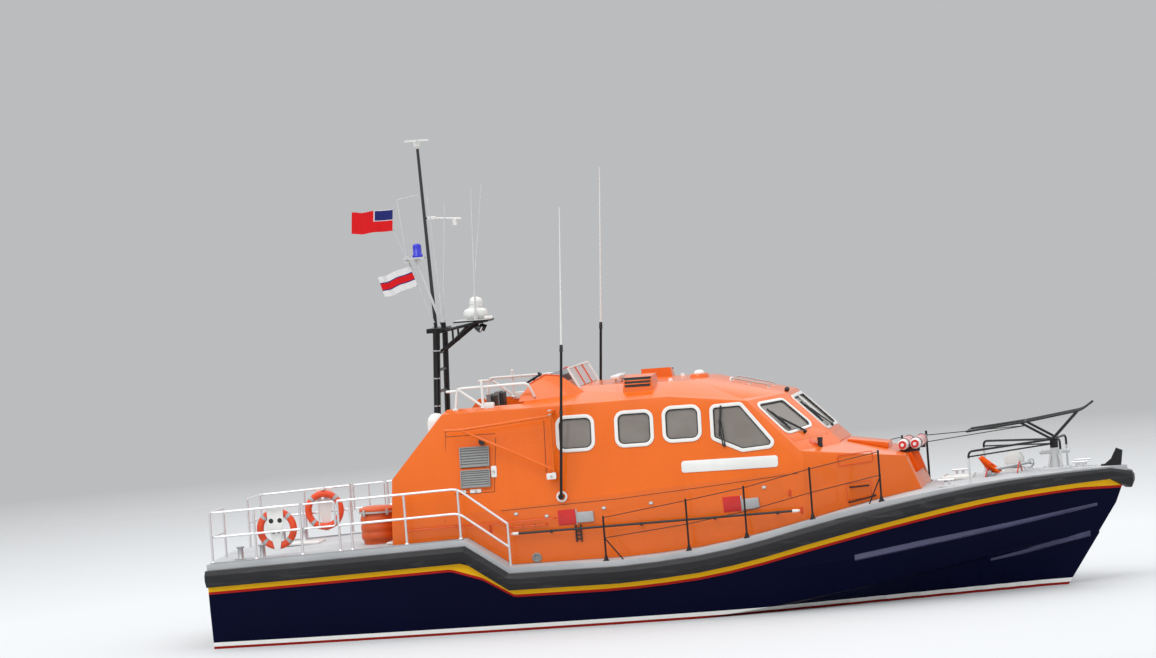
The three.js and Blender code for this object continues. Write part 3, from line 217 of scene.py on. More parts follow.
# %% Mix the gloss paints
ORANGE = (0.80, 0.138, 0.003)
DEEP_ORANGE = (0.72, 0.072, 0.004)
WHITE = (0.80, 0.80, 0.77)
SILVER = (0.62, 0.63, 0.63)
BLACK = (0.008, 0.008, 0.009)
POLE_GREY = (0.045, 0.045, 0.050)
NAVY = (0.0013, 0.0018, 0.014)
RIPPLE = 0.003
AERIAL_NECKS = {"starboard": 4.914, "port": 5.095}


def gloss_paint(name, colour, shade=0.90, roughness=0.27, coat=0.4):
    """Sprayed gloss in one colour, clouded, streaked and faintly rippled."""
    paint = Paint(name, coat_weight=coat, coat_roughness=0.06, specular_ior_level=0.35)
    darker = tuple(channel * shade for channel in colour)
    cloud = paint.ramp(paint.noise(0.9, 4), [(0.35, 0), (0.70, 1)])
    streak = paint.ramp(paint.noise(1.5, 2, (3, 3, 0.3)), [(0.45, 0), (0.85, 1)])
    paint.feed(Base_Color=paint.mixed(cloud * 0.6 + streak * 0.4, colour, darker))
    paint.feed(Roughness=paint.noise(0.7, 2) * 0.06 + (roughness - 0.03))
    return paint.feed(Normal=paint.bump(paint.noise(1.1, 1), RIPPLE, 0.5))


def two_tone(name, lower, upper, change):
    """Gloss in one colour below a height and another above it."""
    paint = Paint(name, coat_weight=0.08, coat_roughness=0.08, specular_ior_level=0.3)
    shade = paint.noise(1.5, 4)
    low = paint.mixed(shade, lower, tuple(c * 0.8 for c in lower))
    high = paint.mixed(shade, upper, tuple(c * 0.85 for c in upper))
    paint.feed(Base_Color=paint.mixed(paint.height() > change, low, high))
    paint.feed(Roughness=paint.noise(1.5, 2) * 0.06 + 0.32)
    return paint.feed(Normal=paint.bump(paint.noise(30.0, 3), 0.0006, 0.4))


orange = gloss_paint("orange_gelcoat", ORANGE, coat=0.3)
deep_orange = gloss_paint("deep_orange_gelcoat", DEEP_ORANGE)
white = gloss_paint("white_gloss", WHITE, shade=0.86, roughness=0.30, coat=0.3)
black = gloss_paint("black_satin", BLACK, shade=0.6, roughness=0.45, coat=0.0)
mast_paint = two_tone("mast_paint", BLACK, SILVER, 5.40)
pole_paint = two_tone("pole_paint", POLE_GREY, WHITE, 8.52)
aerial_starboard_paint = two_tone("aerial_paint_starboard", BLACK, WHITE, AERIAL_NECKS["starboard"])
aerial_port_paint = two_tone("aerial_paint_port", BLACK, WHITE, AERIAL_NECKS["port"])
bow_frame_paint = two_tone("bow_frame_paint", SILVER, BLACK, 2.42)
print("gloss paints", [p.material.name for p in (orange, deep_orange, white, black)])

# %% [markdown]
# ## The hull's paint
# Bands of colour run the length of the hull: yellow and red under the rubber belting, a white line
# just above the water, and red antifouling below it. The yellow band follows the belting, whose
# lower edge is measured from the CAD and drawn as a curve over the boat's length. Each band is then
# a pair of comparisons on how far a point lies below that curve.

# %% Paint the hull
YELLOW = (0.86, 0.47, 0.012)
BAND_RED = (0.42, 0.016, 0.012)
ANTIFOULING = (0.30, 0.014, 0.010)
YELLOW_DEPTH = 0.088
RED_DEPTH = 0.045
BOOT_TOP = (0.045, 0.115)
HULL_FORE, HULL_AFT = 8.3, -8.3
SHEER_TOP = 2.2
BEHIND_BELTING = -0.06
UP, DOWN, TO_PORT = Vector((0, 0, 1)), Vector((0, 0, -1)), Vector((0, 1, 0))
OUTSIDE = -4.0
FLARE_STARTS = 3.0


def surface_of(*nodes):
    """A search tree over the CAD surface of these nodes."""
    bm = bmesh.new()
    for node in nodes:
        bm.from_mesh(frame["nodes"][node].data)
    tree = BVHTree.FromBMesh(bm)
    bm.free()
    return tree


def from_outside(tree, x, z):
    """The point and the normal that a level ray from starboard meets."""
    return tree.ray_cast(Vector((x, OUTSIDE, z)), TO_PORT)[:2]


HULL_SIDE = surface_of("hull")
BELTING = surface_of("belting")


def lower_edge(count=30, aft=-8.05, fore=7.80):
    """Heights of the belting's underside at places along the boat, felt from below."""
    found = []
    for step in range(count):
        x = aft + step * (fore - aft) / (count - 1)
        z = 0.9 if x < FLARE_STARTS else 1.5
        side = from_outside(HULL_SIDE, x, z)[0]
        if side:
            starts = [Vector((x, side.y - 0.02 - 0.04 * k, 0)) for k in range(9)]
            hits = [BELTING.ray_cast(start, UP)[0] for start in starts]
            found.append((x, min(hit.z for hit in hits if hit)))
    return found


def paint_hull():
    paint = Paint("hull_paint", coat_weight=0.02, coat_roughness=0.05, specular_ior_level=0.035)
    x = paint.node("ShaderNodeSeparateXYZ", {}, {"Vector": paint.place()})
    z = paint.height()
    along = (x - HULL_AFT) * (1 / (HULL_FORE - HULL_AFT))
    curve = [((sx - HULL_AFT) / (HULL_FORE - HULL_AFT), sz / SHEER_TOP) for sx, sz in EDGE]
    sheer = paint.node("ShaderNodeFloatCurve", {"curve": curve}, {"Value": along}) * SHEER_TOP
    drop = sheer - z
    cloud = paint.noise(0.8, 4)
    navy = paint.mixed(cloud, NAVY, tuple(c * 1.5 for c in NAVY))
    banded = paint.mixed(drop < YELLOW_DEPTH + RED_DEPTH, navy, BAND_RED)
    banded = paint.mixed(drop < YELLOW_DEPTH, banded, YELLOW)
    banded = paint.mixed(drop < BEHIND_BELTING, banded, navy)
    banded = paint.mixed(z < BOOT_TOP[1], banded, WHITE)
    slime = tuple(c * 0.7 for c in ANTIFOULING)
    scrubbed = paint.mixed(paint.noise(6.0, 5, (1, 1, 3)), ANTIFOULING, slime)
    below = z < BOOT_TOP[0]
    paint.feed(Base_Color=paint.mixed(below, banded, scrubbed))
    paint.feed(Roughness=below * 0.3 + paint.noise(0.7, 2) * 0.05 + 0.17)
    paint.feed(Normal=paint.bump(paint.noise(0.9, 1), 0.004, 0.5))
    return paint


EDGE = lower_edge()
hull_paint = paint_hull()
# The spray rails are painted a lighter blue-grey than the hull: a painted highlight for the sky lighting
# their tops.
rail_highlight_paint = gloss_paint("spray_rail_highlight", (0.050, 0.050, 0.120), shade=0.6, roughness=0.3, coat=0.1)
print("belting's lower edge", [(round(x, 1), round(z, 2)) for x, z in EDGE[::6]])

# %% [markdown]
# ## Everything else on deck
# Decks are painted with grit in the paint, so they are matt and rough underfoot. The belting is
# rubber, scuffed grey where it has rubbed along quays, and its upward faces carry a painted
# highlight in lighter grey. Rails are polished steel tube, the propellers are cast bronze, and the
# windows are thick toughened glass over a dark cabin.

# %% Mix the other finishes


def deck_paint():
    paint = Paint("deck_paint", specular_ior_level=0.4)
    wear_and_highlight = paint.ramp(paint.noise(1.3, 5), [(0.35, 0), (0.75, 1)])
    grit = paint.noise(160.0, 2)
    tone = paint.mixed(wear_and_highlight, (0.56, 0.57, 0.58), (0.44, 0.455, 0.465))
    paint.feed(Base_Color=paint.mixed(grit * 0.35, tone, (0.20, 0.21, 0.22)))
    paint.feed(Roughness=grit * 0.2 + 0.6)
    return paint.feed(Normal=paint.bump(grit, 0.002, 0.6))


def rubber():
    paint = Paint("black_rubber", specular_ior_level=0.3)
    scuff = paint.ramp(paint.noise(5.0, 5, (0.35, 1, 2.5)), [(0.55, 0), (0.75, 1)])
    dust = paint.ramp(paint.noise(0.7, 4), [(0.3, 0), (0.8, 1)])
    # Faces that point up are painted lighter grey: a painted highlight for the light on the belting's top.
    normal = paint.node("ShaderNodeNewGeometry", output="Normal")
    facing_up = paint.node("ShaderNodeSeparateXYZ", {}, {"Vector": normal}, output=2)
    top_highlight = paint.ramp(facing_up, [(0.86, 0), (0.98, 1)])
    base = paint.mixed(dust * 0.5, (0.010, 0.010, 0.011), (0.026, 0.026, 0.028))
    wear_and_highlight = paint.mixed(top_highlight * 0.7, base, (0.14, 0.14, 0.145))
    paint.feed(Base_Color=paint.mixed(scuff * 0.5, wear_and_highlight, (0.075, 0.075, 0.080)))
    paint.feed(Roughness=scuff * 0.2 + 0.5)
    return paint.feed(Normal=paint.bump(paint.noise(60.0, 4), 0.002, 0.4))


def glazing():
    paint = Paint("tinted_glass", roughness=0.03, ior=1.5, transmission_weight=0.35)
    film = paint.ramp(paint.noise(2.2, 4), [(0.3, 0), (0.8, 1)])
    paint.feed(Base_Color=paint.mixed(film, (0.29, 0.255, 0.225), (0.38, 0.345, 0.315)))
    return paint.feed(Roughness=film * 0.06 + 0.02)


def bare_metal(name, colour, roughness):
    paint = Paint(name, metallic=1.0)
    grain = paint.noise(40.0, 4)
    paint.feed(Base_Color=paint.mixed(grain * 0.5, colour, tuple(c * 0.8 for c in colour)))
    paint.feed(Roughness=grain * 0.18 + roughness)
    return paint.feed(Normal=paint.bump(grain, 0.0004, 0.3))


def moulded(name, colour, roughness=0.5, specular=0.5):
    """Plain moulded plastic or matt paint, with a fine skin and some dirt."""
    paint = Paint(name, specular_ior_level=specular)
    dirt = paint.ramp(paint.noise(2.5, 5), [(0.45, 0), (0.8, 1)])
    paint.feed(Base_Color=paint.mixed(dirt * 0.6, colour, tuple(c * 0.72 for c in colour)))
    paint.feed(Roughness=paint.noise(12.0, 3) * 0.2 + (roughness - 0.1))
    return paint.feed(Normal=paint.bump(paint.noise(120.0, 3), 0.0008, 0.4))


def cloth(name, colour):
    """Woven bunting: thin, matt, with threads that catch the light."""
    paint = Paint(name, specular_ior_level=0.2)
    threads = paint.noise(420.0, 2, (1, 1, 2))
    faded = paint.noise(3.0, 3)
    shade = tuple(c * 0.75 for c in colour)
    paint.feed(Base_Color=paint.mixed(faded * 0.5 + threads * 0.2, colour, shade))
    paint.feed(Roughness=threads * 0.1 + 0.78)
    return paint.feed(Normal=paint.bump(threads, 0.0008, 0.5))


def clear_sheet():
    """Clear acrylic, a little milky, as on a small windscreen."""
    paint = Paint("clear_acrylic", ior=1.45, transmission_weight=0.35)
    haze = paint.ramp(paint.noise(2.0, 3), [(0.3, 0), (0.8, 1)])
    paint.feed(Base_Color=paint.mixed(haze, (0.80, 0.76, 0.75), (0.72, 0.66, 0.65)))
    return paint.feed(Roughness=haze * 0.1 + 0.06)


deck_grey = deck_paint()
belting_rubber = rubber()
glass = glazing()
steel = bare_metal("brushed_steel", (0.80, 0.80, 0.81), 0.36)
bronze = bare_metal("cast_bronze", (0.55, 0.34, 0.12), 0.28)
cabin_grey = moulded("cabin_lining", (0.20, 0.205, 0.21), 0.6)
buoy_orange = moulded("buoy_orange", (0.80, 0.070, 0.012), 0.5)
matt_orange = moulded("matt_orange", (0.80, 0.090, 0.003), 0.9, 0.1)
drum_orange = moulded("drum_orange", (0.62, 0.088, 0.008), 0.45)
light_grey = moulded("light_grey_plastic", (0.42, 0.43, 0.43), 0.5)
louvre_grey = moulded("louvre_grey", (0.26, 0.265, 0.26), 0.55)
dark_plastic = moulded("dark_plastic", (0.020, 0.020, 0.022), 0.45)
reflector_red = moulded("reflective_red", (0.62, 0.018, 0.016), 0.35)
seal_black = moulded("rubber_seal", (0.012, 0.012, 0.013), 0.6)
blue_lens = gloss_paint("blue_lens", (0.010, 0.012, 0.55), roughness=0.12)
lamp_glass = gloss_paint("lamp_glass", (0.72, 0.73, 0.74), roughness=0.10, coat=0.8)
display_glass = gloss_paint("display_glass", (0.012, 0.018, 0.024), roughness=0.10)
galvanised = bare_metal("galvanised_steel", (0.50, 0.51, 0.52), 0.42)
acrylic = clear_sheet()
red_cloth = cloth("red_bunting", (0.72, 0.010, 0.014))
white_cloth = cloth("white_bunting", (0.80, 0.80, 0.80))
navy_cloth = cloth("navy_bunting", (0.018, 0.025, 0.16))
pad_black = moulded("black_vinyl", (0.022, 0.022, 0.024), 0.55)

SLOTS = {
    "hull_paint": [hull_paint, rail_highlight_paint],
    "orange_gelcoat": [orange, deep_orange],
    "deck_paint": [deck_grey],
    "rubber": [belting_rubber, seal_black],
    "glazing": [glass, acrylic, lamp_glass, display_glass],
    "black_paint": [black, mast_paint, pole_paint, aerial_starboard_paint, aerial_port_paint,
                    bow_frame_paint, dark_plastic],
    "white_paint": [white],
    "stainless": [steel, galvanised],
    "bronze": [bronze],
    "interior": [cabin_grey, light_grey, louvre_grey, pad_black],
    "orange_gear": [buoy_orange, drum_orange, matt_orange, reflector_red],
    "blue_lens": [blue_lens],
    "red_bunting": [red_cloth],
    "white_bunting": [white_cloth, navy_cloth],
}
for slot, paints in SLOTS.items():
    for paint in paints:
        paint.slot = slot
print("finishes", len(bpy.data.materials))

# %% [markdown]
# ## From CAD solid to finished moulding
# The CAD solids are faceted and sharp. A real moulding has rounded edges that catch the light, so a
# copy of the solid has its loose triangles merged, its flat faces joined up and its edges bevelled.
# Curved forms such as the hull only need their shading smoothed, with the true creases kept sharp.

# %% Round or smooth a copy of a solid
FLAT = math.radians(0.6)


def ready(bm, name, paint, body="boat", mirrored=False, crease=35):
    """Turns a bmesh into a finished piece that rides on a body, with its port twin if mirrored."""
    if mirrored:
        everything = bm.verts[:] + bm.edges[:] + bm.faces[:]
        bmesh.ops.mirror(bm, geom=everything, matrix=Matrix.Identity(4), axis="Y", merge_dist=-1)
    bmesh.ops.recalc_face_normals(bm, faces=bm.faces)
    return show(bm, name, paint, body, crease)


def show(bm, name, paint, body="boat", crease=35):
    """Makes the object, smooth but for its creases, with its paint and its body."""
    for face in bm.faces:
        face.smooth = True
    for edge in bm.edges:
        if len(edge.link_faces) == 2:
            edge.smooth = edge.calc_face_angle() < math.radians(crease)
    mesh = bpy.data.meshes.new(name)
    bm.to_mesh(mesh)
    bm.free()
    piece = bpy.data.objects.new(name, mesh)
    bpy.context.scene.collection.objects.link(piece)
    piece.data.materials.append(paint.material)
    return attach(piece, body)


def body_of(node):
    bodies = frame["record"]["behaviour"]["bodies"]
    return next(body for body, nodes in bodies.items() if node in nodes)


def moulding(node, paint, radius=0.0, crease=35, softest=12, sharpest=70):
    """A copy of a CAD node in its place, with rounded edges, which stands for that node."""
    bm = bmesh.new()
    bm.from_mesh(frame["nodes"][node].data)
    bmesh.ops.remove_doubles(bm, verts=bm.verts, dist=0.0003)
    if radius:
        bmesh.ops.dissolve_limit(bm, angle_limit=FLAT, verts=bm.verts, edges=bm.edges)
        edges = [
            edge for edge in bm.edges
            if len(edge.link_faces) == 2 and softest < math.degrees(edge.calc_face_angle(0)) < sharpest
            and min(face.calc_area() for face in edge.link_faces) > 2 * radius * edge.calc_length()
        ]
        bmesh.ops.bevel(
            bm, geom=edges, offset=radius, offset_type="OFFSET", segments=3, profile=0.5,
            affect="EDGES", clamp_overlap=True, material=-1,
        )
    piece = show(bm, node + "_moulding", paint, body_of(node), crease)
    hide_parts(node)
    return piece


moulding("hull", hull_paint, crease=14)
moulding("deck", deck_grey, crease=14)
moulding("stern_door", hull_paint, crease=30)
for node in ("house_side_starboard", "house_side_port", "aft_casing",
             "wheelhouse_roof", "wheelhouse_front", "trunk"):
    moulding(node, orange, radius=0.022)
for node in ("upper_coaming", "cabin_door", "fore_hatch"):
    moulding(node, orange, radius=0.012, sharpest=100)
moulding("belting", belting_rubber, radius=0.03, softest=15, sharpest=120)
SMOOTH_COPIES = {
    mast_paint: ["mast_frame"],
    pole_paint: ["mast_pole"],
    aerial_starboard_paint: ["side_aerial_starboard"],
    aerial_port_paint: ["side_aerial_port"],
    orange: ["recovery_davit_starboard", "recovery_davit_port"],
    white: ["windlass", "float_free_canister"],
    blue_lens: ["blue_lamp"],
    black: ["stem_fairlead"],
    bronze: ["propeller_starboard", "propeller_port", "rudder_starboard", "rudder_port"],
}
for paint, nodes in SMOOTH_COPIES.items():
    for node in nodes:
        moulding(node, paint, crease=62)

# %% [markdown]
# ## Finishes for the solids that stay
# Most CAD solids already have the right shape and only need the right finish. Each one is given its
# paint by name.

# %% Give each solid its finish
FINISHES = {
    cabin_grey: ["cabin_interior", "upper_console", "upper_seats"],
    acrylic: ["upper_windscreen"],
    glass: ["windscreen_centre", "windscreen_quarter_starboard", "windscreen_quarter_port"]
    + [f"side_window_{number}_{side}" for number in (1, 2, 3, 4) for side in ("starboard", "port")],
}
for paint, nodes in FINISHES.items():
    for node in nodes:
        materials = frame["nodes"][node].data.materials
        materials.clear()
        materials.append(paint.material)
print("solids with a finish", sum(map(len, FINISHES.values())))

# %% [markdown]
# ## Tools of the bench
# Nearly every fitting is a bar, a bent tube, a block or a flat plate with rounded corners. Small
# helpers make each of these from a bmesh operator. Plates and frames are drawn flat and then seated
# on the boat: a ray finds the painted surface at that place, and its slope sets how the plate lies.

# %% Make bars, tubes, blocks and plates
LEVEL = Matrix.Identity(3)
SINK = 0.004


def up(height):
    return Vector((0.0, 0.0, height))


def off(place, height):
    """The same place, lifted off its surface."""
    return place @ Matrix.Translation((0, 0, height))


def bar(bm, start, end, radius, end_radius=None, segments=16):
    """A straight round bar, which tapers if it has an end radius."""
    start, end = Vector(start), Vector(end)
    along = end - start
    turn = along.to_track_quat("Z", "Y").to_matrix().to_4x4()
    bmesh.ops.create_cone(
        bm, cap_ends=True, segments=segments, radius1=radius,
        radius2=radius if end_radius is None else end_radius, depth=along.length,
        matrix=Matrix.Translation((start + end) / 2) @ turn,
    )


def with_bends(points, bend, steps=5):
    """The path with each corner rounded off by a short curve."""
    points = [Vector(point) for point in points]
    path = [points[0]]
    for before, corner, after in zip(points, points[1:], points[2:]):
        reach = min(bend, (before - corner).length * 0.45, (after - corner).length * 0.45)
        first = corner + (before - corner).normalized() * reach
        last = corner + (after - corner).normalized() * reach
        for step in range(steps + 1):
            t = step / steps
            path.append(first * (1 - t) ** 2 + corner * 2 * t * (1 - t) + last * t**2)
    return [*path, points[-1]]


def tube(bm, points, radius, bend=0.06, sides=2):
    """A bent tube, swept by a curve object whose mesh is then added."""
    path = with_bends(points, bend) if bend else [Vector(point) for point in points]
    curve = bpy.data.curves.new("sweep", "CURVE")
    curve.dimensions = "3D"
    curve.bevel_depth = radius
    curve.bevel_resolution = sides
    curve.use_fill_caps = True
    spline = curve.splines.new("POLY")
    spline.points.add(len(path) - 1)
    for point, place in zip(spline.points, path):
        point.co = (*place, 1)
    holder = bpy.data.objects.new("sweep", curve)
    bpy.context.scene.collection.objects.link(holder)
    bpy.context.view_layer.update()
    evaluated = holder.evaluated_get(bpy.context.evaluated_depsgraph_get())
    swept = bpy.data.meshes.new_from_object(evaluated)
    bm.from_mesh(swept)
    bpy.data.objects.remove(holder)
    bpy.data.meshes.remove(swept)


def block(bm, size, centre, turn=LEVEL, edge=0.0, segments=2):
    """A box, with its edges rounded if they have a radius."""
    place = Matrix.Translation(centre) @ turn.to_4x4() @ Matrix.Diagonal((*size, 1))
    made = bmesh.ops.create_cube(bm, size=1, matrix=place)
    if edge:
        edges = list({e for v in made["verts"] for e in v.link_edges})
        bmesh.ops.bevel(
            bm, geom=edges, offset=edge, segments=segments, profile=0.5, affect="EDGES", material=-1
        )


def lathe(profile, foot, axis=(0, 0, 1), steps=32):
    """A new bmesh with one turned piece, from pairs of radius and height."""
    bm = bmesh.new()
    verts = [bm.verts.new((radius, 0, height)) for radius, height in profile]
    edges = [bm.edges.new(pair) for pair in zip(verts, verts[1:])]
    bmesh.ops.spin(
        bm, geom=verts + edges, cent=(0, 0, 0), axis=(0, 0, 1), angle=math.tau, steps=steps, use_merge=True
    )
    bmesh.ops.remove_doubles(bm, verts=bm.verts, dist=0.0002)
    turn = Vector(axis).to_track_quat("Z", "Y").to_matrix().to_4x4()
    bmesh.ops.transform(bm, matrix=Matrix.Translation(foot) @ turn, verts=bm.verts)
    return bm


def add(bm, other):
    """Moves one bmesh into another."""
    mesh = bpy.data.meshes.new("part")
    other.to_mesh(mesh)
    other.free()
    bm.from_mesh(mesh)
    bpy.data.meshes.remove(mesh)


SIDE = surface_of("house_side_starboard", "trunk")
DECK = surface_of("deck")


def axes(point, along, normal):
    """A place with X along a surface and Z out of it."""
    turn = Matrix((along, normal.cross(along), normal)).transposed()
    return Matrix.Translation(point) @ turn.to_4x4()


def seat(x, z, slope=0.0):
    """A place on the starboard side: X runs along the boat, Y up the face and Z out of it."""
    return lay(*from_outside(SIDE, x, z), slope)


def lay(point, normal, slope=0.0):
    """Axes on a surface, with X as level as it can be, or climbing at the slope."""
    if normal.y > 0.2:
        normal = -normal
    along = Vector((1, 0, slope))
    return axes(point, (along - along.dot(normal) * normal).normalized(), normal)


def deck_at(x, y):
    """The height of the deck, felt from above."""
    return DECK.ray_cast(Vector((x, y, 5)), DOWN)[0].z


def rounded(outline, radius, steps=6):
    """The outline with each corner turned to an arc of this radius."""
    points = [Vector(point) for point in outline]
    path = []
    for before, here, after in zip(points[-1:] + points[:-1], points, points[1:] + points[:1]):
        back, ahead = before - here, after - here
        half = back.angle(ahead) / 2
        reach = min(radius / math.tan(half), 0.48 * min(back.length, ahead.length))
        first, last = here + back.normalized() * reach, here + ahead.normalized() * reach
        for step in range(steps + 1):
            t = step / steps
            parts = ((1 - t) ** 2, 2 * math.sin(half) * t * (1 - t), t**2)
            path.append((first * parts[0] + here * parts[1] + last * parts[2]) / sum(parts))
    return path


def drawn(bm, outline, corner):
    """A flat face, with rounded corners if they have a radius."""
    path = rounded(outline, corner) if corner else outline
    face = bm.faces.new([bm.verts.new((*point, 0)) for point in path])
    face.normal_update()
    return face


def raise_up(bm, faces, height, edge):
    """Gives flat faces a thickness and softens the rim."""
    made = bmesh.ops.extrude_face_region(bm, geom=faces, use_keep_orig=True)
    top = [item for item in made["geom"] if isinstance(item, bmesh.types.BMVert)]
    bmesh.ops.translate(bm, verts=top, vec=(0, 0, height))
    if edge:
        raised = set(top)
        rim = [e for e in bm.edges if set(e.verts) <= raised and e.calc_face_angle(0) > 0.5]
        bmesh.ops.bevel(bm, geom=rim, offset=edge, segments=2, profile=0.5, affect="EDGES", material=-1)


def settle(bm, flat, place, sink):
    """Seats a raised piece on a surface. It starts a little under it, so that no gap shows."""
    bmesh.ops.recalc_face_normals(flat, faces=flat.faces)
    bmesh.ops.transform(flat, matrix=off(place, -sink), verts=flat.verts)
    add(bm, flat)


def plate(bm, place, outline, thickness, corner=0.0, edge=0.0):
    """A flat plate on a surface, with rounded corners and a softened rim if they are given."""
    flat = bmesh.new()
    raise_up(flat, [drawn(flat, outline, corner)], thickness + SINK, edge)
    settle(bm, flat, place, SINK)


def surround(bm, place, outline, width, thickness, corner=0.0, edge=0.0, sink=SINK):
    """A frame whose outer edge is the outline."""
    flat = bmesh.new()
    face = drawn(flat, outline, corner)
    bmesh.ops.inset_region(
        flat, faces=[face], thickness=width, use_even_offset=True, use_boundary=True
    )
    flat.faces.ensure_lookup_table()
    inner = max(flat.faces, key=lambda f: (len(f.verts), f.calc_area()))
    bmesh.ops.delete(flat, geom=[inner], context="FACES_ONLY")
    raise_up(flat, flat.faces[:], thickness + sink, edge)
    settle(bm, flat, place, sink)


def rectangle(width, height, cx=0.0, cy=0.0):
    w, h = width / 2, height / 2
    return [(cx - w, cy - h), (cx + w, cy - h), (cx + w, cy + h), (cx - w, cy + h)]


def flattened(place, points):
    """Points of the boat as they lie on a seated plane."""
    back_to = place.inverted()
    return [tuple((back_to @ Vector(point)).xy) for point in points]


def grown(outline, by):
    """An outline with each edge moved outwards."""
    count = len(outline)
    area = sum(outline[i][0] * outline[(i + 1) % count][1] - outline[(i + 1) % count][0] * outline[i][1]
               for i in range(count))
    sign = 1 if area > 0 else -1
    moved = []
    for i in range(count):
        before, here, after = (Vector(outline[(i + k) % count]) for k in (-1, 0, 1))
        first, second = (here - before).normalized(), (after - here).normalized()
        out_first, out_second = (Vector((d.y, -d.x)) * sign for d in (first, second))
        bisector = (out_first + out_second).normalized()
        moved.append(tuple(here + bisector * (by / max(0.3, bisector.dot(out_first)))))
    return moved


print("the bench is ready")

# %% [markdown]
# ## Window frames
# Each window is clamped between a rubber seal and a broad white frame with rounded corners. The
# frame follows the opening, so its outline is the opening's own, grown by the frame's width. The
# three small windows are alike, and the helm window and the windscreen have slanting edges. Orange
# blanking panels close the windscreen's opening below and beside its clear panes.

# %% Frame the windows
FRAME_WIDTH = 0.062
FRAME_PROUD = 0.020
SEAL_WIDTH, SEAL_DEPTH, SEAL_SINK = 0.016, 0.022, 0.017
BLANK_LAP, BLANK_DEPTH, BLANK_SINK = 0.045, 0.019, 0.016
SIDE_FOOT_Y, SIDE_FOOT_Z, SIDE_TUMBLE = 2.060, 2.300, 0.1625
SIDE_WINDOWS = [(-1.382, 3.356), (-0.336, 3.371), (0.510, 3.397)]
WINDOW_SIZE = (0.570, 0.527)
WINDOW_CORNER = 0.105
HELM_WINDOW = [(1.072, 3.125), (1.560, 2.895), (2.105, 2.930), (1.545, 3.642), (1.070, 3.630)]
SCREEN_TOP = Vector((2.230, -0.724, 3.750))
SCREEN_BASE = Vector((3.130, -0.800, 2.850))
QUARTER_HEAD = Vector((1.675, -1.830, 3.713))
SIDE_HEAD = Vector((2.561, -1.981, 2.788))
QUARTER_SIGHT = [(0.115, 0.25), (0.105, 0.87), (0.655, 0.87), (0.62, 0.215)]
QUARTER_OPENING = [(0.10, 0.10), (0.10, 0.88), (0.80, 0.88), (0.80, 0.10)]
QUARTER_CORNER, QUARTER_WIDTH = 0.08, 0.052
CENTRE_SIGHT = (0.12, 0.72)
CENTRE_OPENING = (0.10, 0.80)
CENTRE_INSET = 0.075
CENTRE_POST = (0.07, 0.76)
SLANTING_CORNER = 0.05


def on_side(x, z):
    """The point of the wheelhouse side above x and z."""
    return Vector((x, -(SIDE_FOOT_Y - SIDE_TUMBLE * (z - SIDE_FOOT_Z)), z))


def three_point_place(a, b, c):
    """Axes on a plane through three points, with Z out of it to starboard or forward."""
    normal = (b - a).cross(c - a).normalized()
    if normal.dot(Vector((1, -1, 0.2))) < 0:
        normal = -normal
    return axes(a, (b - a).normalized(), normal)


def side_place(x, z):
    """Axes on the flat of the wheelhouse side, with Z out of it."""
    return three_point_place(on_side(x, z), on_side(x + 1, z), on_side(x, z + 1))


def on_quarter(spots):
    """Points of the windscreen's quarter, from shares of the way down it and across it."""
    return [SCREEN_TOP.lerp(SCREEN_BASE, down).lerp(QUARTER_HEAD.lerp(SIDE_HEAD, down), across)
            for down, across in spots]


def on_centre(shares):
    """A strip of the centre windscreen between two shares of the way down it."""
    inset = Vector((0, CENTRE_INSET, 0))
    top, base = (SCREEN_TOP.lerp(SCREEN_BASE, share) + inset for share in shares)
    other = Matrix.Diagonal((1, -1, 1))
    return [top, other @ top, other @ base, base]


def frame_window(frames, seals, place, outline, corner, width=FRAME_WIDTH):
    """A white frame and a black seal round one opening, given as it lies on its plane."""
    surround(frames, place, grown(outline, width), width, FRAME_PROUD, corner + width, 0.007)
    inner, seat_of_seal = grown(outline, -0.001), off(place, -SEAL_SINK)
    surround(seals, seat_of_seal, inner, SEAL_WIDTH, SEAL_DEPTH, corner, 0.003, sink=0)


def blanking(bm, place, opening, sight, corner, width):
    """A panel, flush with the shell, which closes an opening round the smaller clear pane."""
    flat = bmesh.new()
    for path in (grown(opening, BLANK_LAP), rounded(grown(sight, width / 2), corner + width / 2)):
        verts = [flat.verts.new((*point, 0)) for point in path]
        for pair in zip(verts, verts[1:] + verts[:1]):
            flat.edges.new(pair)
    bmesh.ops.triangle_fill(flat, edges=flat.edges[:], use_beauty=True, use_dissolve=False)
    raise_up(flat, flat.faces[:], BLANK_DEPTH, 0.001)
    settle(bm, flat, place, BLANK_SINK)


frames, seals = bmesh.new(), bmesh.new()
for x, z in SIDE_WINDOWS:
    frame_window(frames, seals, side_place(x, z), rectangle(*WINDOW_SIZE), WINDOW_CORNER)
helm_place = side_place(1.5, 3.3)
flat_pane = flattened(helm_place, [on_side(x, z) for x, z in HELM_WINDOW])
frame_window(frames, seals, helm_place, flat_pane, SLANTING_CORNER)
pane = on_quarter(QUARTER_SIGHT)
quarter_place = three_point_place(*pane[:3])
flat_pane = flattened(quarter_place, pane)
frame_window(frames, seals, quarter_place, flat_pane, QUARTER_CORNER, QUARTER_WIDTH)
blanks, blanks_centre = bmesh.new(), bmesh.new()
opening = flattened(quarter_place, on_quarter(QUARTER_OPENING))
blanking(blanks, quarter_place, opening, flat_pane, QUARTER_CORNER, QUARTER_WIDTH)
frames_centre, seals_centre = bmesh.new(), bmesh.new()
pane = on_centre(CENTRE_SIGHT)
centre_place = three_point_place(*pane[:3])
flat_pane = flattened(centre_place, pane)
frame_window(frames_centre, seals_centre, centre_place, flat_pane, SLANTING_CORNER)
middle = (Vector(flat_pane[0]) + Vector(flat_pane[2])) / 2
plate(frames_centre, centre_place, rectangle(*CENTRE_POST, *middle), FRAME_PROUD, 0, 0.006)
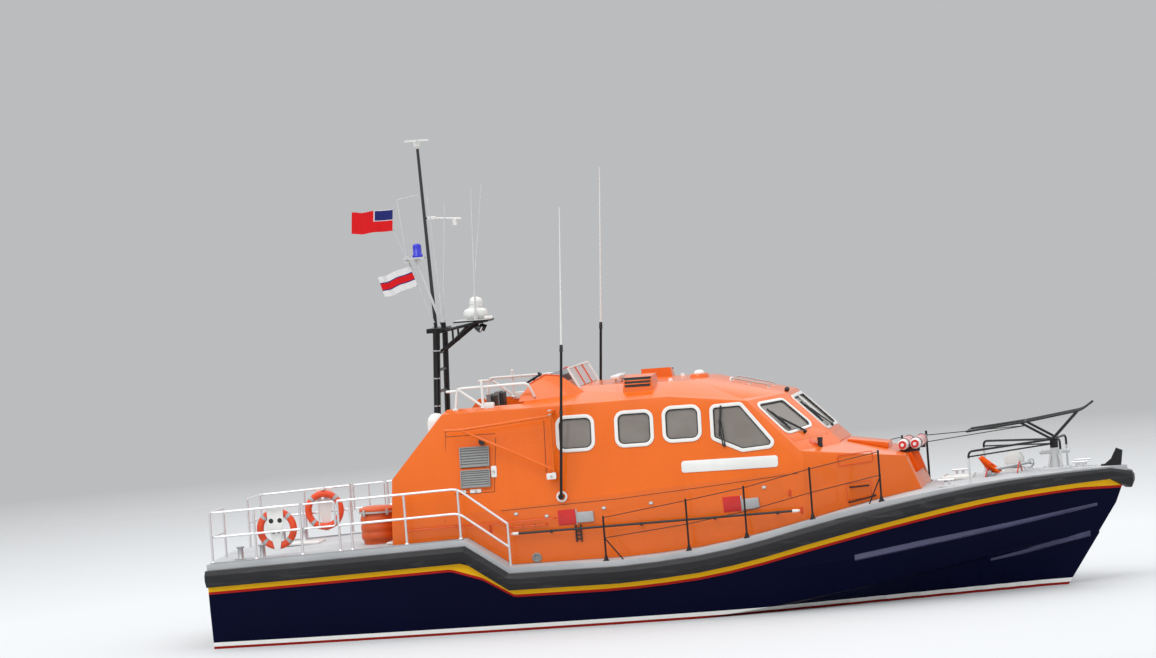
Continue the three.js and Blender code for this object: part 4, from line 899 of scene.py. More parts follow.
opening = flattened(centre_place, on_centre(CENTRE_OPENING))
blanking(blanks_centre, centre_place, opening, flat_pane, SLANTING_CORNER, FRAME_WIDTH)
ready(blanks, "windscreen_quarter_blanks", orange, mirrored=True)
ready(blanks_centre, "windscreen_blank", orange)
ready(frames, "window_frames", white, mirrored=True)
ready(seals, "window_seals", seal_black, mirrored=True)
ready(frames_centre, "windscreen_frame", white)
ready(seals_centre, "windscreen_seal", seal_black)
print("windows framed", 2 * (len(SIDE_WINDOWS) + 2) + 1)

# %% [markdown]
# ## Wipers
# Sea spray is cleared by pantograph wipers: two thin arms from a spindle carry a long blade. They
# are black, and stand a few centimetres off the glass.

# %% Hang the wipers
WIPER_STAND = 0.045


def wiper(bm, place, spots):
    """Arms from the spindle to the elbow, and a blade from its start to its end."""
    spindle, elbow, start, end = (Vector(spot) for spot in flattened(place, spots))

    def lift(point, height=WIPER_STAND):
        return place @ Vector((*point, height))

    bar(bm, lift(spindle, 0), lift(spindle, WIPER_STAND + 0.015), 0.028)
    offset = (elbow - spindle).orthogonal().normalized() * 0.018
    for arm in (-offset, offset):
        tube(bm, [lift(spindle + arm), lift(elbow + arm)], 0.010, 0)
    bar(bm, lift(elbow, WIPER_STAND - 0.02), lift(elbow, WIPER_STAND + 0.01), 0.02, segments=12)
    tube(bm, [lift(start, 0.03), lift(end, 0.03)], 0.016, 0)
    spine = [(0.15, WIPER_STAND), (0.5, WIPER_STAND + 0.01), (0.85, WIPER_STAND)]
    tube(bm, [lift(start.lerp(end, share), height) for share, height in spine], 0.011, 0.1)


wipers, centre_wiper = bmesh.new(), bmesh.new()
helm_spots = [(1.238, 2.975), (1.185, 3.40), (1.165, 3.13), (1.215, 3.66)]
wiper(wipers, helm_place, [on_side(x, z) for x, z in helm_spots])
wiper(wipers, quarter_place, [
    (2.582, -1.398, 3.067), (2.175, -1.619, 3.343), (1.973, -1.651, 3.520), (2.370, -1.647, 3.142)])
wiper(centre_wiper, centre_place, [
    (2.900, -0.150, 3.080), (2.593, -0.440, 3.387), (2.432, -0.600, 3.548), (2.800, -0.560, 3.176)])
ready(wipers, "side_wipers", dark_plastic, mirrored=True)
ready(centre_wiper, "windscreen_wiper", dark_plastic)
print("wipers hung")

# %% [markdown]
# ## Plates, patches and grab rails along the side
# The name is carried on a white plate under the helm window, which is left blank here. Two red
# reflective patches with a grey box beside each mark the side at night. Grab rails run along the
# house in short brackets, and a boathook lies under them on four clips.

# %% Fit the house side
GRAB_RAILS = [((-4.50, 1.875), (-1.80, 1.915)), ((-2.64, 1.807), (-1.96, 1.815))]
GRAB_STAND = 0.055
DECK_LIGHTS = [(-2.51, 2.03), (-1.97, 1.956), (-0.95, 2.03), (-0.115, 2.06), (1.89, 2.20)]
EYE_PLATES = [(2.333, 2.068), (2.517, 1.757), (-2.98, 1.80)]
HOOK_ENDS = [(-2.48, 1.695), (2.37, 1.768)]
HOOK_CLIPS = (-1.9, -0.3, 1.0, 2.1)

plates = bmesh.new()
place = seat(1.315, 2.643, slope=-0.005)
plate(plates, place, rectangle(1.70, 0.205), 0.012, 0.05, 0.004)
ready(plates, "name_plates", white, mirrored=True)

patches, boxes = bmesh.new(), bmesh.new()
for x, z, slope in ((-1.615, 1.910, 0.02), (1.305, 1.945, 0.03)):
    plate(patches, seat(x, z, slope), rectangle(0.315, 0.265), 0.012, 0.012, 0.003)
    plate(boxes, seat(x + 0.33, z - 0.01, slope), rectangle(0.29, 0.185), 0.045, 0.02, 0.012)
    plate(boxes, seat(x + 0.17, z, slope), rectangle(0.022, 0.27), 0.014, 0, 0.003)
ready(patches, "reflective_patches", reflector_red, mirrored=True)
ready(boxes, "side_boxes", light_grey, mirrored=True)

grab, clips = bmesh.new(), bmesh.new()
for line in GRAB_RAILS:
    start, end = (Vector(spot) for spot in line)
    first, *middles, last = (seat(*start.lerp(end, share)) for share in (0, 0.34, 0.67, 1))
    tube(grab, [first @ up(-0.01), first @ Vector((0.04, 0, GRAB_STAND)),
                *(place @ up(GRAB_STAND) for place in middles),
                last @ Vector((-0.04, 0, GRAB_STAND)), last @ up(-0.01)], 0.010, 0.03)
    for place in middles:
        bar(clips, place @ up(-0.01), place @ up(GRAB_STAND + 0.005), 0.012, segments=10)
# The grab rails take the darker orange, which partly paints the shade that falls on and under them.
ready(grab, "side_grab_rails", deep_orange, mirrored=True)

hook, tips = bmesh.new(), bmesh.new()
aft, fore = (seat(*spot) @ up(0.075) for spot in HOOK_ENDS)
aft.y = fore.y = min(aft.y, fore.y) - 0.02
bar(hook, aft, fore, 0.021)
for end, way in ((aft, Vector((-1, 0, 0))), (fore, Vector((1, 0, 0)))):
    bar(tips, end, end + way * 0.09, 0.028)
    bar(tips, end + way * 0.09, end + way * 0.13, 0.028, 0.012)
for x in HOOK_CLIPS:
    spot = aft.lerp(fore, (x - aft.x) / (fore.x - aft.x))
    wall = from_outside(SIDE, x, spot.z)[0]
    middle = (x, (spot.y + wall.y) / 2, spot.z - 0.026)
    block(clips, (0.035, wall.y - spot.y, 0.018), middle, edge=0.004)
    block(clips, (0.035, 0.014, 0.06), (x, spot.y - 0.022, spot.z - 0.008), edge=0.004)
ready(hook, "boathook_starboard", dark_plastic)
ready(tips, "boathook_tips", white)
ready(clips, "side_clips", dark_plastic)

lamps, rims = bmesh.new(), bmesh.new()
for spot in DECK_LIGHTS:
    place = seat(*spot)
    plate(rims, place, rectangle(0.075, 0.052), 0.014, 0.02, 0.004)
    plate(lamps, off(place, 0.012), rectangle(0.05, 0.03), 0.012, 0.012, 0.004)
ready(rims, "deck_light_rims", light_grey, mirrored=True)
ready(lamps, "deck_lights", white, mirrored=True)

rings = bmesh.new()
for spot in EYE_PLATES:
    place = seat(*spot)
    plate(rings, place, rectangle(0.05, 0.13), 0.012, 0.02, 0.004)
    bow = [(0.045, 0), (0.03, 0.05), (-0.03, 0.05), (-0.045, 0)]
    tube(rings, [place @ Vector((-0.015, height, out)) for height, out in bow], 0.009, 0.02)
ready(rings, "side_eye_plates", deep_orange, mirrored=True)
print("side fitted")

# %% [markdown]
# ## Louvres, seams and catches by the engine casing
# Behind the wheelhouse the side is a removable panel with a grey two-part louvre for engine air.
# Fine seams show where panels part, with catches and hinges on them. A seam is a narrow dark line,
# made as a thin strip that lies on the paint. Slats are tilted blocks in a row.

# %% Fit the louvre and its panel
LOUVRE_X, LOUVRE_WIDTH = -3.190, 0.530
LOUVRE_PARTS = [(2.530, 2.8425), (2.8875, 3.245)]
LOUVRE_MARGIN = 0.015
SLATS = 7
SLAT_TILT = Matrix.Rotation(math.radians(-28), 4, "X")

slats, backing = bmesh.new(), bmesh.new()
for low, high in LOUVRE_PARTS:
    panel = side_place(LOUVRE_X, (low + high) / 2)
    outline = rectangle(LOUVRE_WIDTH, high - low)
    plate(backing, off(panel, 0.030), outline, 0.006, 0, 0.002)
    pitch = (high - low - 2 * LOUVRE_MARGIN) / SLATS
    for row in range(SLATS):
        height = (low - high) / 2 + LOUVRE_MARGIN + pitch * (row + 0.5)
        blade = panel @ Matrix.Translation((0, height, 0.042)) @ SLAT_TILT
        size = (LOUVRE_WIDTH - 0.05, pitch * 1.02, 0.005)
        block(slats, size, blade.translation, blade.to_3x3())
    surround(slats, off(panel, 0.032), outline, 0.022, 0.026, 0, 0.003)
ready(backing, "louvre_backing", cabin_grey, mirrored=True)
ready(slats, "louvre_slats", louvre_grey, mirrored=True)

SEAMS = [
    [(-3.685, 3.56), (-3.776, 1.98)],
    [(-2.800, 3.38), (-2.868, 2.44), (-3.58, 2.44)],
    [(-3.685, 3.45), (-2.806, 3.45)],
    [(-1.93, 3.62), (-1.93, 2.72)],
    [(-2.765, 2.102), (-0.679, 2.173), (1.133, 2.297), (2.50, 2.405)],
]
seams = bmesh.new()
for line in SEAMS:
    for start, end in zip(line, line[1:]):
        tube(seams, [seat(*spot) @ up(0.001) for spot in (start, end)], 0.0045, 0, sides=1)
ready(seams, "panel_seams", seal_black, mirrored=True)

CATCHES = [(-2.86, 2.79, 0.10, 0.20), (-3.20, 2.475, 0.20, 0.07), (-3.42, 2.475, 0.10, 0.06),
           (-1.813, 2.653, 0.17, 0.11)]
LAMP_FEET = [(-3.05, 3.33), (-3.02, 3.335)]
catches, spindles = bmesh.new(), bmesh.new()
for x, z, width, height in CATCHES:
    place = seat(x, z)
    plate(catches, place, rectangle(width, height), 0.022, 0.02, 0.006)
    bar(spindles, place @ up(0.01), place @ up(0.045), 0.018, segments=12)
for spot in LAMP_FEET:
    place = seat(*spot)
    bar(spindles, place.translation, place @ up(0.07), 0.022, segments=14)
ready(catches, "panel_catches", white, mirrored=True)
ready(spindles, "catch_spindles", light_grey, mirrored=True)

lamp = lathe([(0.0, 0.0), (0.05, 0.0), (0.055, 0.03), (0.05, 0.09), (0.0, 0.095)],
             seat(-3.055, 3.33) @ up(0.05), (0.35, -0.9, -0.25), 20)
ready(lamp, "panel_floodlights", dark_plastic, mirrored=True)
print("louvres and seams fitted")

# %% [markdown]
# ## Trunk forward of the wheelhouse
# Low on the trunk is a step panel with two black handles, and above it the outline of a locker lid.
# A dark cowl is on its top, below the windscreen, and beside it a small darker orange plate is
# painted shade for a shadowed recess. The front face carries a matt orange panel, and a black post on
# the deck holds two taut stays that run to the bow.

# %% Fit the trunk
HANDLES = [((3.333, 2.072), (3.629, 2.073)), ((3.295, 1.812), (3.729, 1.885))]
STEPS_AT, OUTLET_AT = (-1.43, 1.62), (-2.21, 1.24)
handles, lids, steps, cowls, recess_shade_plates, front = (bmesh.new() for _ in range(6))
for ends in HANDLES:
    first, last = (seat(*end) for end in ends)
    path = [first @ up(-0.01), first @ up(0.05), last @ up(0.05), last @ up(-0.01)]
    tube(handles, path, 0.014, 0.03)
ready(handles, "trunk_handles", black, mirrored=True)


def outlined(aft, fore, middle, height, width, thickness, corner):
    """The outline of a lid on the trunk's side, between two places along it."""
    first, last = (seat(x, middle).translation for x in (aft, fore))
    outline = rectangle((first - last).length, height)
    surround(lids, seat((aft + fore) / 2, middle), outline, width, thickness, corner, 0.002)


outlined(3.17, 3.75, 2.56, 0.20, 0.014, 0.010, 0.05)
outlined(3.27, 3.68, 2.00, 0.30, 0.010, 0.005, 0.02)
ready(lids, "trunk_lids", deep_orange, mirrored=True)

place = seat(*STEPS_AT)
for dx in (-0.045, 0.045):
    block(steps, (0.022, 0.30, 0.045), place @ Vector((dx, 0, 0.020)), place.to_3x3(), edge=0.005)
for dz in (-0.10, -0.035, 0.03, 0.095):
    block(steps, (0.09, 0.020, 0.030), place @ Vector((0, dz, 0.018)), place.to_3x3(), edge=0.004)
place = seat(*OUTLET_AT)
outlet = lathe([(0.0, -0.01), (0.085, -0.01), (0.085, 0.018), (0.070, 0.024), (0.055, 0.020),
                (0.050, 0.004), (0.0, 0.004)], place.translation, place.to_3x3().col[2])
ready(steps, "folding_steps", dark_plastic, mirrored=True)
ready(outlet, "side_outlets", louvre_grey, mirrored=True)

TRUNK_TOP = surface_of("trunk", "wheelhouse_front", "house_side_starboard", "house_side_port")


def top_at(x, y, tree=TRUNK_TOP):
    """A place on top of the boat, felt from above."""
    point, normal = tree.ray_cast(Vector((x, y, 6)), DOWN)[:2]
    return lay(point, normal if normal.z > 0 else -normal)


foot = top_at(2.85, -1.40).translation
bar(cowls, foot - up(0.03), foot + up(0.150), 0.042, segments=24)
bar(cowls, foot + up(0.105), foot + up(0.158), 0.048, segments=24)
ready(cowls, "trunk_cowls", dark_plastic, mirrored=True)
# A darker orange plate here is painted shade, for the shadowed face of a recess in the top.
plate(recess_shade_plates, top_at(2.74, -1.46), rectangle(0.17, 0.15), 0.006, 0.02, 0.002)
ready(recess_shade_plates, "trunk_recess_shade", deep_orange, mirrored=True)

nose, facing = TRUNK_TOP.ray_cast(Vector((7, 0, 2.36)), Vector((-1, 0, 0)))[:2]
plate(front, axes(nose, TO_PORT, facing), rectangle(1.08, 0.36), 0.045, 0.03, 0.010)
ready(front, "trunk_front_panel", matt_orange)

post, lines = bmesh.new(), bmesh.new()
POST = (4.43, 1.18)
STAY_END = (6.33, 0.16, 2.83)
foot = deck_at(*POST)
bar(post, (*POST, foot - 0.01), (*POST, 2.80), 0.020)
bar(post, (*POST, foot - 0.005), (*POST, foot + 0.03), 0.055, 0.045)
ready(post, "trunk_post", black)
for height in (2.72, 2.60):
    tube(lines, [(*POST, height), STAY_END], 0.008, 0)
ready(lines, "foredeck_stays", dark_plastic)
print("trunk fitted")

# %% [markdown]
# ## The roof
# The vents have black louvres with orange slats in their outboard faces. The satellite dome is a
# small white cap on an orange pedestal, and both are turned on a lathe: a profile is spun about an
# upright axis. Two grab rails lead down to the windscreen, where a small camera stands.

# %% Fit the roof


def ball(bm, centre, radius):
    bmesh.ops.create_uvsphere(
        bm, u_segments=24, v_segments=14, radius=radius, matrix=Matrix.Translation(centre)
    )


VENT_HEAD = Vector((-0.564, -1.33, 4.23))
VENT_SILL = Vector((-0.564, -1.42, 3.85))
louvres, slats = bmesh.new(), bmesh.new()
place = three_point_place(VENT_HEAD, VENT_HEAD + Vector((1, 0, 0)), VENT_SILL)
place = place @ Matrix.Translation((0.266, 0, 0))
plate(louvres, place, rectangle(0.455, 0.155, 0, -0.085), 0.010, 0.02, 0.003)
for row in (-0.055, -0.115):
    plate(slats, off(place, 0.008), rectangle(0.46, 0.018, 0, row), 0.014, 0, 0.004)
lip = place @ Matrix.Translation((0, -0.005, 0.004))
plate(louvres, lip, rectangle(0.50, 0.022), 0.016, 0.006, 0.004)
ready(louvres, "vent_louvres", dark_plastic, mirrored=True)
ready(slats, "vent_slats", orange, mirrored=True)

DOME_FOOT = (0.608, 0, 4.098)
PEDESTAL = [(0.0, -0.05), (0.182, -0.05), (0.172, 0.0), (0.155, 0.055), (0.148, 0.064), (0.0, 0.066)]
CAP = [(0.0, 0.060), (0.098, 0.062), (0.098, 0.072), (0.092, 0.088), (0.076, 0.110), (0.048, 0.125),
       (0.0, 0.131)]
pedestal = show(lathe(PEDESTAL, DOME_FOOT), "roof_dome_pedestal", orange, body_of("roof_dome"))
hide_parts("roof_dome")
show(lathe(CAP, DOME_FOOT), "roof_dome_cap", white, body_of("roof_dome"))

ROOF = surface_of("wheelhouse_roof", "wheelhouse_front")
LIGHT_BAR_X = -0.84
light_bar, panes, rail, feet, lookout = (bmesh.new() for _ in range(5))


def roof_at(x, y):
    return top_at(x, y, ROOF)


for y in (-0.35, 0.35):
    foot = roof_at(LIGHT_BAR_X, y).translation
    bar(light_bar, foot - up(0.01), foot + up(0.07), 0.022)
block(light_bar, (0.15, 0.95, 0.065), (LIGHT_BAR_X, 0, foot.z + 0.095), edge=0.014)
ready(light_bar, "roof_light_bar", white)
for y in (-0.24, 0.24):
    block(panes, (0.012, 0.34, 0.045), (LIGHT_BAR_X + 0.076, y, foot.z + 0.095), edge=0.004)
ready(panes, "light_bar_glass", lamp_glass)

for y in (-0.35, 0.35):
    spots = [roof_at(x, y) for x in (1.22, 1.55, 1.88)]
    lifted = [spot @ up(0.055) for spot in spots]
    tube(rail, [spots[0].translation, *lifted, spots[2].translation], 0.012, 0.03)
    for spot in spots:
        bar(feet, spot @ up(-0.005), spot @ up(0.012), 0.032)
    bar(rail, spots[1].translation, lifted[1], 0.010)
for x, y in ((1.18, 0.0), (0.2, -0.75), (0.2, 0.75)):
    spot = roof_at(x, y)
    bar(feet, spot @ up(-0.005), spot @ up(0.05), 0.045, 0.03)
ready(rail, "roof_grab_rails", light_grey)
ready(feet, "roof_feet", white)

spot = roof_at(2.19, -0.42)
bar(lookout, spot @ up(-0.01), spot @ up(0.03), 0.032)
ball(lookout, spot @ Vector((0.01, 0, 0.038)), 0.046)
ready(lookout, "roof_camera", dark_plastic)
print("roof fitted")

# %% [markdown]
# ## The upper steering position
# Out in the open, the coxswain steers from behind a three-pane acrylic screen. Its outer frame is
# white and the bars between its panes are orange. On the console are three sealed displays, a row
# of switches, the wheel and the engine levers. The seats have black padded cushions.

# %% Fit the upper steering position
SCREEN_FOOT = Vector((-1.361, 0, 4.073))
SCREEN_HEAD = Vector((-1.562, 0, 4.466))
PANE_EDGES = (-0.37, 0.37)
SCREEN_SIDES = (-1.088, 1.088)


def on_screen(y, share):
    return SCREEN_FOOT.lerp(SCREEN_HEAD, share) + Vector((0, y, 0))


screen_bars, mullions = bmesh.new(), bmesh.new()
for y in SCREEN_SIDES:
    tube(screen_bars, [on_screen(y, 0.08), on_screen(y, 0.99)], 0.017, 0)
tube(screen_bars, [on_screen(y, 0.99) for y in SCREEN_SIDES], 0.017, 0)
for y in PANE_EDGES:
    tube(mullions, [on_screen(y, 0.08), on_screen(y, 0.98)], 0.020, 0)
ready(screen_bars, "upper_screen_frame", white)
ready(mullions, "upper_screen_mullions", deep_orange)

DASH_AFT = Vector((-2.290, 0, 4.180))
DASH_FORE = Vector((-1.900, 0, 4.390))
slope, to_starboard = (DASH_FORE - DASH_AFT).normalized(), Vector((0, -1, 0))
dash = Matrix((to_starboard, slope, to_starboard.cross(slope))).transposed().to_4x4()
middle_of_dash = DASH_AFT.lerp(DASH_FORE, 0.5)


def on_dash(y, climb=0.0, out=0.0):
    """A place on the console's sloping face, with Z out of it."""
    across = Matrix.Translation(middle_of_dash + Vector((0, y, 0)))
    return across @ dash @ Matrix.Translation((0, climb, out))


bezels, displays, switches = bmesh.new(), bmesh.new(), bmesh.new()
for y in (-0.62, -0.12, 0.38):
    plate(bezels, on_dash(y), rectangle(0.36, 0.26), 0.020, 0.02, 0.005)
    plate(displays, on_dash(y, 0.01, 0.018), rectangle(0.30, 0.19), 0.004, 0.004, 0.001)
for step in range(7):
    place = on_dash(0.66 + 0.03 * (step % 2), -0.12 + 0.04 * step)
    plate(switches, place, rectangle(0.022, 0.028), 0.016, 0.003, 0.003)
ready(bezels, "upper_display_bezels", dark_plastic)
ready(displays, "upper_displays", display_glass)
ready(switches, "upper_switches", white)

WHEEL_RADIUS = 0.17
wheel = bmesh.new()
hub = on_dash(-0.12, -0.235, 0.12)


def on_rim(turn):
    return hub @ Vector((WHEEL_RADIUS * math.cos(turn), WHEEL_RADIUS * math.sin(turn), 0))


tube(wheel, [on_rim(math.tau * step / 40) for step in range(41)], 0.014, 0)
for turn in (0.25, 1.3, 2.35, 3.4, 4.45, 5.5):
    tube(wheel, [hub.translation, on_rim(turn)], 0.008, 0)
bar(wheel, hub @ up(0.02), hub @ Vector((0, 0.05, -0.14)), 0.034)
ready(wheel, "upper_steering_wheel", dark_plastic)

levers = bmesh.new()
for y in (0.10, 0.16):
    foot = on_dash(y, -0.17, 0.0)
    bar(levers, foot @ up(-0.02), foot @ Vector((0, 0.03, 0.15)), 0.008)
    ball(levers, foot @ Vector((0, 0.03, 0.16)), 0.022)
block(levers, (0.16, 0.16, 0.03), on_dash(0.13, -0.17, 0.012).translation, dash.to_3x3(), edge=0.008)
ready(levers, "upper_engine_levers", dark_plastic)

PADS = [("cushion", (0.40, 0.40, 0.075), (-2.90, 3.745), 0.030),
        ("back", (0.065, 0.38, 0.32), (-3.025, 3.905), 0.028)]
for side, y in (("starboard", -0.42), ("port", 0.42)):
    for kind, size, (x, z), edge in PADS:
        pad = bmesh.new()
        block(pad, size, (x, y, z), edge=edge, segments=4)
        piece = show(pad, f"upper_seat_{kind}_{side}", pad_black)

trims = bmesh.new()
for line in ([(-2.22, -1.30, 4.250), (-1.975, -1.155, 4.385)],
             [(-1.96, -1.150, 4.388), (-1.70, -1.150, 4.352)]):
    tube(trims, line, 0.014, 0)
ready(trims, "coaming_trims", deep_orange, mirrored=True)
print("upper steering fitted")

# %% [markdown]
# ## Rails of bent tube
# The CAD rails are six-sided and mitred. On the boat they are round tube with easy bends, so they
# are swept again along the same points. The posts follow the deck edge, which is felt with rays. The
# starboard rail is drawn once and mirrored to port, and each one stands for its own CAD node.

# %% Sweep the rails


def edge_y(x):
    """How far the deck edge lies from the centreline."""
    return 0.025 - from_outside(DECK, x, deck_at(x, -0.04) - 0.075)[0].y


def over_deck(x, y, height):
    """A point at this height over the deck."""
    return Vector((x, y, deck_at(x, y) + height))


def skin(bm, rings):
    """Joins rings of points into one closed solid."""
    rows = [[bm.verts.new(point) for point in ring] for ring in rings]
    for first, second in zip(rows, rows[1:]):
        for k in range(len(first)):
            after = (k + 1) % len(first)
            bm.faces.new((first[k], first[after], second[after], second[k]))
    bm.faces.new(rows[0][::-1])
    bm.faces.new(rows[-1])


def pair(build, name, paint, node=None):
    """One piece on each side. With a node, each piece stands for that node on its side."""
    for side in ("starboard", "port"):
        bm = bmesh.new()
        build(bm)
        if side == "port":
            bmesh.ops.scale(bm, vec=(1, -1, 1), verts=bm.verts)
        bmesh.ops.recalc_face_normals(bm, faces=bm.faces)
        body = body_of(f"{node}_{side}") if node else "boat"
        piece = show(bm, f"{name}_{side}", paint, body)
        if node:
            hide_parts(f"{node}_{side}")


RAIL_TUBE = 0.022
RAIL_INSET = 0.11
RAIL_TOP, RAIL_MID = 0.900, 0.470
AFT_POSTS = (-7.99, -7.18, -6.33)
FORE_POSTS = (-5.64, -5.42, -4.436, -3.466)
RAIL_END = -2.62
GATE_AFT, GATE_FORE = -6.27, -5.70
GATE_LUG = 0.0184


def rail_point(x, height):
    """A point on the starboard rail, which follows the deck's edge."""
    return over_deck(x, RAIL_INSET - edge_y(x), height)


def aft_rail(bm):
    for x in (*AFT_POSTS, *FORE_POSTS):
        proud = 0.035 if x == AFT_POSTS[2] else 0
        bar(bm, rail_point(x, 0), rail_point(x, RAIL_TOP + proud), RAIL_TUBE)
        bar(bm, rail_point(x, 0.02), rail_point(x, 0.045), 0.045, 0.036)
    for height, low in ((RAIL_TOP, 0.760), (RAIL_MID, 0.350)):
        end = rail_point(AFT_POSTS[0], height)
        across = Vector((end.x, -1.0, end.z))
        tube(bm, [across, *(rail_point(x, height) for x in AFT_POSTS)], RAIL_TUBE, 0.12)
        path = [rail_point(x, height) for x in FORE_POSTS if x != FORE_POSTS[1]]
        tube(bm, [*path, rail_point(RAIL_END, low)], RAIL_TUBE, 0.12)
    bar(bm, rail_point(RAIL_END, 0), rail_point(RAIL_END, 0.765), RAIL_TUBE)
    head = rail_point(AFT_POSTS[0], RAIL_TOP)
    bar(bm, over_deck(AFT_POSTS[0], -1.0, 0), (AFT_POSTS[0], -1.0, head.z), RAIL_TUBE)
    for height in (RAIL_TOP + 0.024, RAIL_MID - 0.024):
        lug = rail_point(GATE_AFT, height)
        block(bm, (0.085, 0.03, 0.010), (lug.x - 0.028, lug.y, lug.z), edge=0.002)


def kerb(bm):
    rings = []
    for step in range(21):
        x = -8.03 + step * 0.23
        y = RAIL_INSET - edge_y(max(x, -8.0))
        z = deck_at(max(x, -8.0), y)
        section = [(-0.045, 0), (-0.045, 0.023), (0.045, 0.026), (0.045, 0)]
        rings.append([(x, y + dy, z + dz) for dy, dz in section])
    skin(bm, rings)


def rail_gate(bm):
    corners = [(GATE_AFT, RAIL_TOP), (GATE_FORE, RAIL_TOP), (GATE_FORE, RAIL_MID), (GATE_AFT, RAIL_MID)]
    tube(bm, [rail_point(*corner) for corner in corners], 0.016, 0.05)
    hinge = [rail_point(GATE_AFT, z) for z in (RAIL_MID - GATE_LUG, RAIL_TOP + GATE_LUG)]
    bar(bm, *hinge, 0.017)
    bar(bm, *(rail_point((GATE_AFT + GATE_FORE) / 2, z) for z in (RAIL_MID, RAIL_TOP)), 0.013)


pair(aft_rail, "aft_rail_tubes", steel, "aft_rail")
pair(kerb, "deck_kerb", galvanised)
pair(rail_gate, "rail_gate_tubes", steel, "rail_gate")

STANCHIONS = ((-0.900, 0.770), (0.564, 0.890), (1.585, 0.890), (2.740, 0.890), (3.930, 0.880))
WIRES = (0.98, 0.52)


def stanchion_point(x, height, share=1.0):
    return over_deck(x, 0.09 - edge_y(x), height * share) - Vector((0.02 * share, 0, 0))


def stanchions(bm):
    for x, height in STANCHIONS:
        bar(bm, stanchion_point(x, 0.0), stanchion_point(x, height), 0.017)
        ball(bm, stanchion_point(x, height), 0.019)
        bar(bm, stanchion_point(x, -0.004), stanchion_point(x, 0.018), 0.058, 0.052)
        bar(bm, stanchion_point(x, 0.016), stanchion_point(x, 0.10), 0.042, 0.020)
        for share in WIRES:
            ball(bm, stanchion_point(x, height, share) + Vector((0, -0.014, 0)), 0.015)
    for (x, height), foot in ((STANCHIONS[0], -0.60), (STANCHIONS[4], 3.72)):
        bar(bm, stanchion_point(x, height, 0.5), stanchion_point(foot, 0.0), 0.012)
    for share in WIRES:
        tube(bm, [stanchion_point(x, height, share) for x, height in STANCHIONS], 0.007, 0)


pair(stanchions, "guard_rail_wires", black, "guard_rail")

HANDRAIL_TUBE = 0.024
HOUSE_TOP = surface_of("house_side_starboard", "wheelhouse_roof")


def handrail(bm):
    y, aft, fore, top, foot_z = -1.600, -3.529, -2.226, 4.265, 3.86
    post_x, post_y, post_top = -3.033, y + 0.02, 4.376
    tube(bm, [(aft, y, foot_z), (aft + 0.055, y, top), (fore, y + 0.1, top + 0.012),
              (fore + 0.09, y + 0.2, 4.02)], HANDRAIL_TUBE, 0.09)
    bar(bm, (aft + 0.055, y, top), (aft + 0.576, y, foot_z), HANDRAIL_TUBE)
    bar(bm, (aft - 0.126, y, top - 0.04), (aft + 0.045, y, top - 0.04), HANDRAIL_TUBE)
    ball(bm, (aft - 0.126, y, top - 0.04), HANDRAIL_TUBE)
    bar(bm, (post_x, post_y, foot_z), (post_x, post_y, post_top), HANDRAIL_TUBE)
    ball(bm, (post_x, post_y, post_top), HANDRAIL_TUBE)
    block(bm, (0.18, 0.12, 0.13), (aft + 0.61, y, 3.925), edge=0.02)
    for x, at_y in ((aft, y), (post_x, post_y)):
        foot = top_at(x, at_y, HOUSE_TOP).translation
        bar(bm, foot - up(0.01), foot + up(0.02), 0.055, 0.045)


pair(handrail, "handrail_tubes", white, "upper_handrail")
print("rails swept")

# %% [markdown]
# ## The bow
# The black frame at the bow straddles a towing post, whose lower part is bare metal. The anchor has
# orange flukes and a galvanised shank, and is lashed to the deck beside the windlass. Spray rails
# run along the knuckle and the chine of the hull, in a lighter blue-grey than the hull that paints a
# highlight on their tops.

# %% Fit the bow
POST_X = 6.800
POST_BASE = deck_at(POST_X, 0.0)
FRAME_HALF = 0.330


def bow_tubes(bm, side):
    x, base, y = POST_X, POST_BASE, side * FRAME_HALF

    def above(at, inset, height):
        return over_deck(at, side * (edge_y(at) - inset), height)

    def head(aft, height):
        return (x - aft, side * 0.03, base + height)

    tube(bm, [(5.32, y * 1.3, base + 0.78), (x - 0.48, y, base + 0.87), (x + 0.54, y * 0.8, base + 1.01),
              (x + 0.72, y * 0.7, base + 1.13)], 0.020, 0.10)
    bar(bm, (x, y, base + 0.54), (x - 0.53, y, base + 0.865), 0.022)
    bar(bm, (x, y, base + 0.54), (x + 0.47, y * 0.82, base + 1.0), 0.022)
    feet = [(5.42, 0.13), (6.96, 0.11)]
    for foot, top in zip(feet, (head(0.04, 0.52), head(0, 0.525))):
        tube(bm, [above(*foot, -0.01), above(*foot, 0.56), top], 0.020, 0.10)
        bar(bm, above(*foot, -0.004), above(*foot, 0.02), 0.05, 0.042)
    tube(bm, [above(*feet[0], 0.47), head(0.04, 0.44)], 0.014, 0)


def at_post(dx, dy, height):
    """A point beside the towing post, over the deck at its foot."""
    return Vector((POST_X + dx, dy, POST_BASE + height))


TOWING_POST = [(0.0, -0.005), (0.080, -0.005), (0.080, 0.05), (0.074, 0.07), (0.074, 0.50),
               (0.086, 0.52), (0.086, 0.545), (0.070, 0.562), (0.0, 0.565)]
bow_frame, bolts = bmesh.new(), bmesh.new()
for side in (-1, 1):
    bow_tubes(bow_frame, side)
for x, y, height in ((5.32, 0.43, 0.78), (6.32, 0.33, 0.87)):
    tube(bow_frame, [(x, y, POST_BASE + height), (x, -y, POST_BASE + height)], 0.016, 0)
add(bow_frame, lathe(TOWING_POST, at_post(0, 0, 0)))
bar(bow_frame, at_post(-0.23, 0, 0.30), at_post(0.23, 0, 0.30), 0.035, segments=24)
for dx in (-0.23, 0.23):
    ball(bow_frame, at_post(dx, 0, 0.30), 0.042)
bar(bow_frame, at_post(0, -0.34, 0.54), at_post(0, 0.34, 0.54), 0.026)
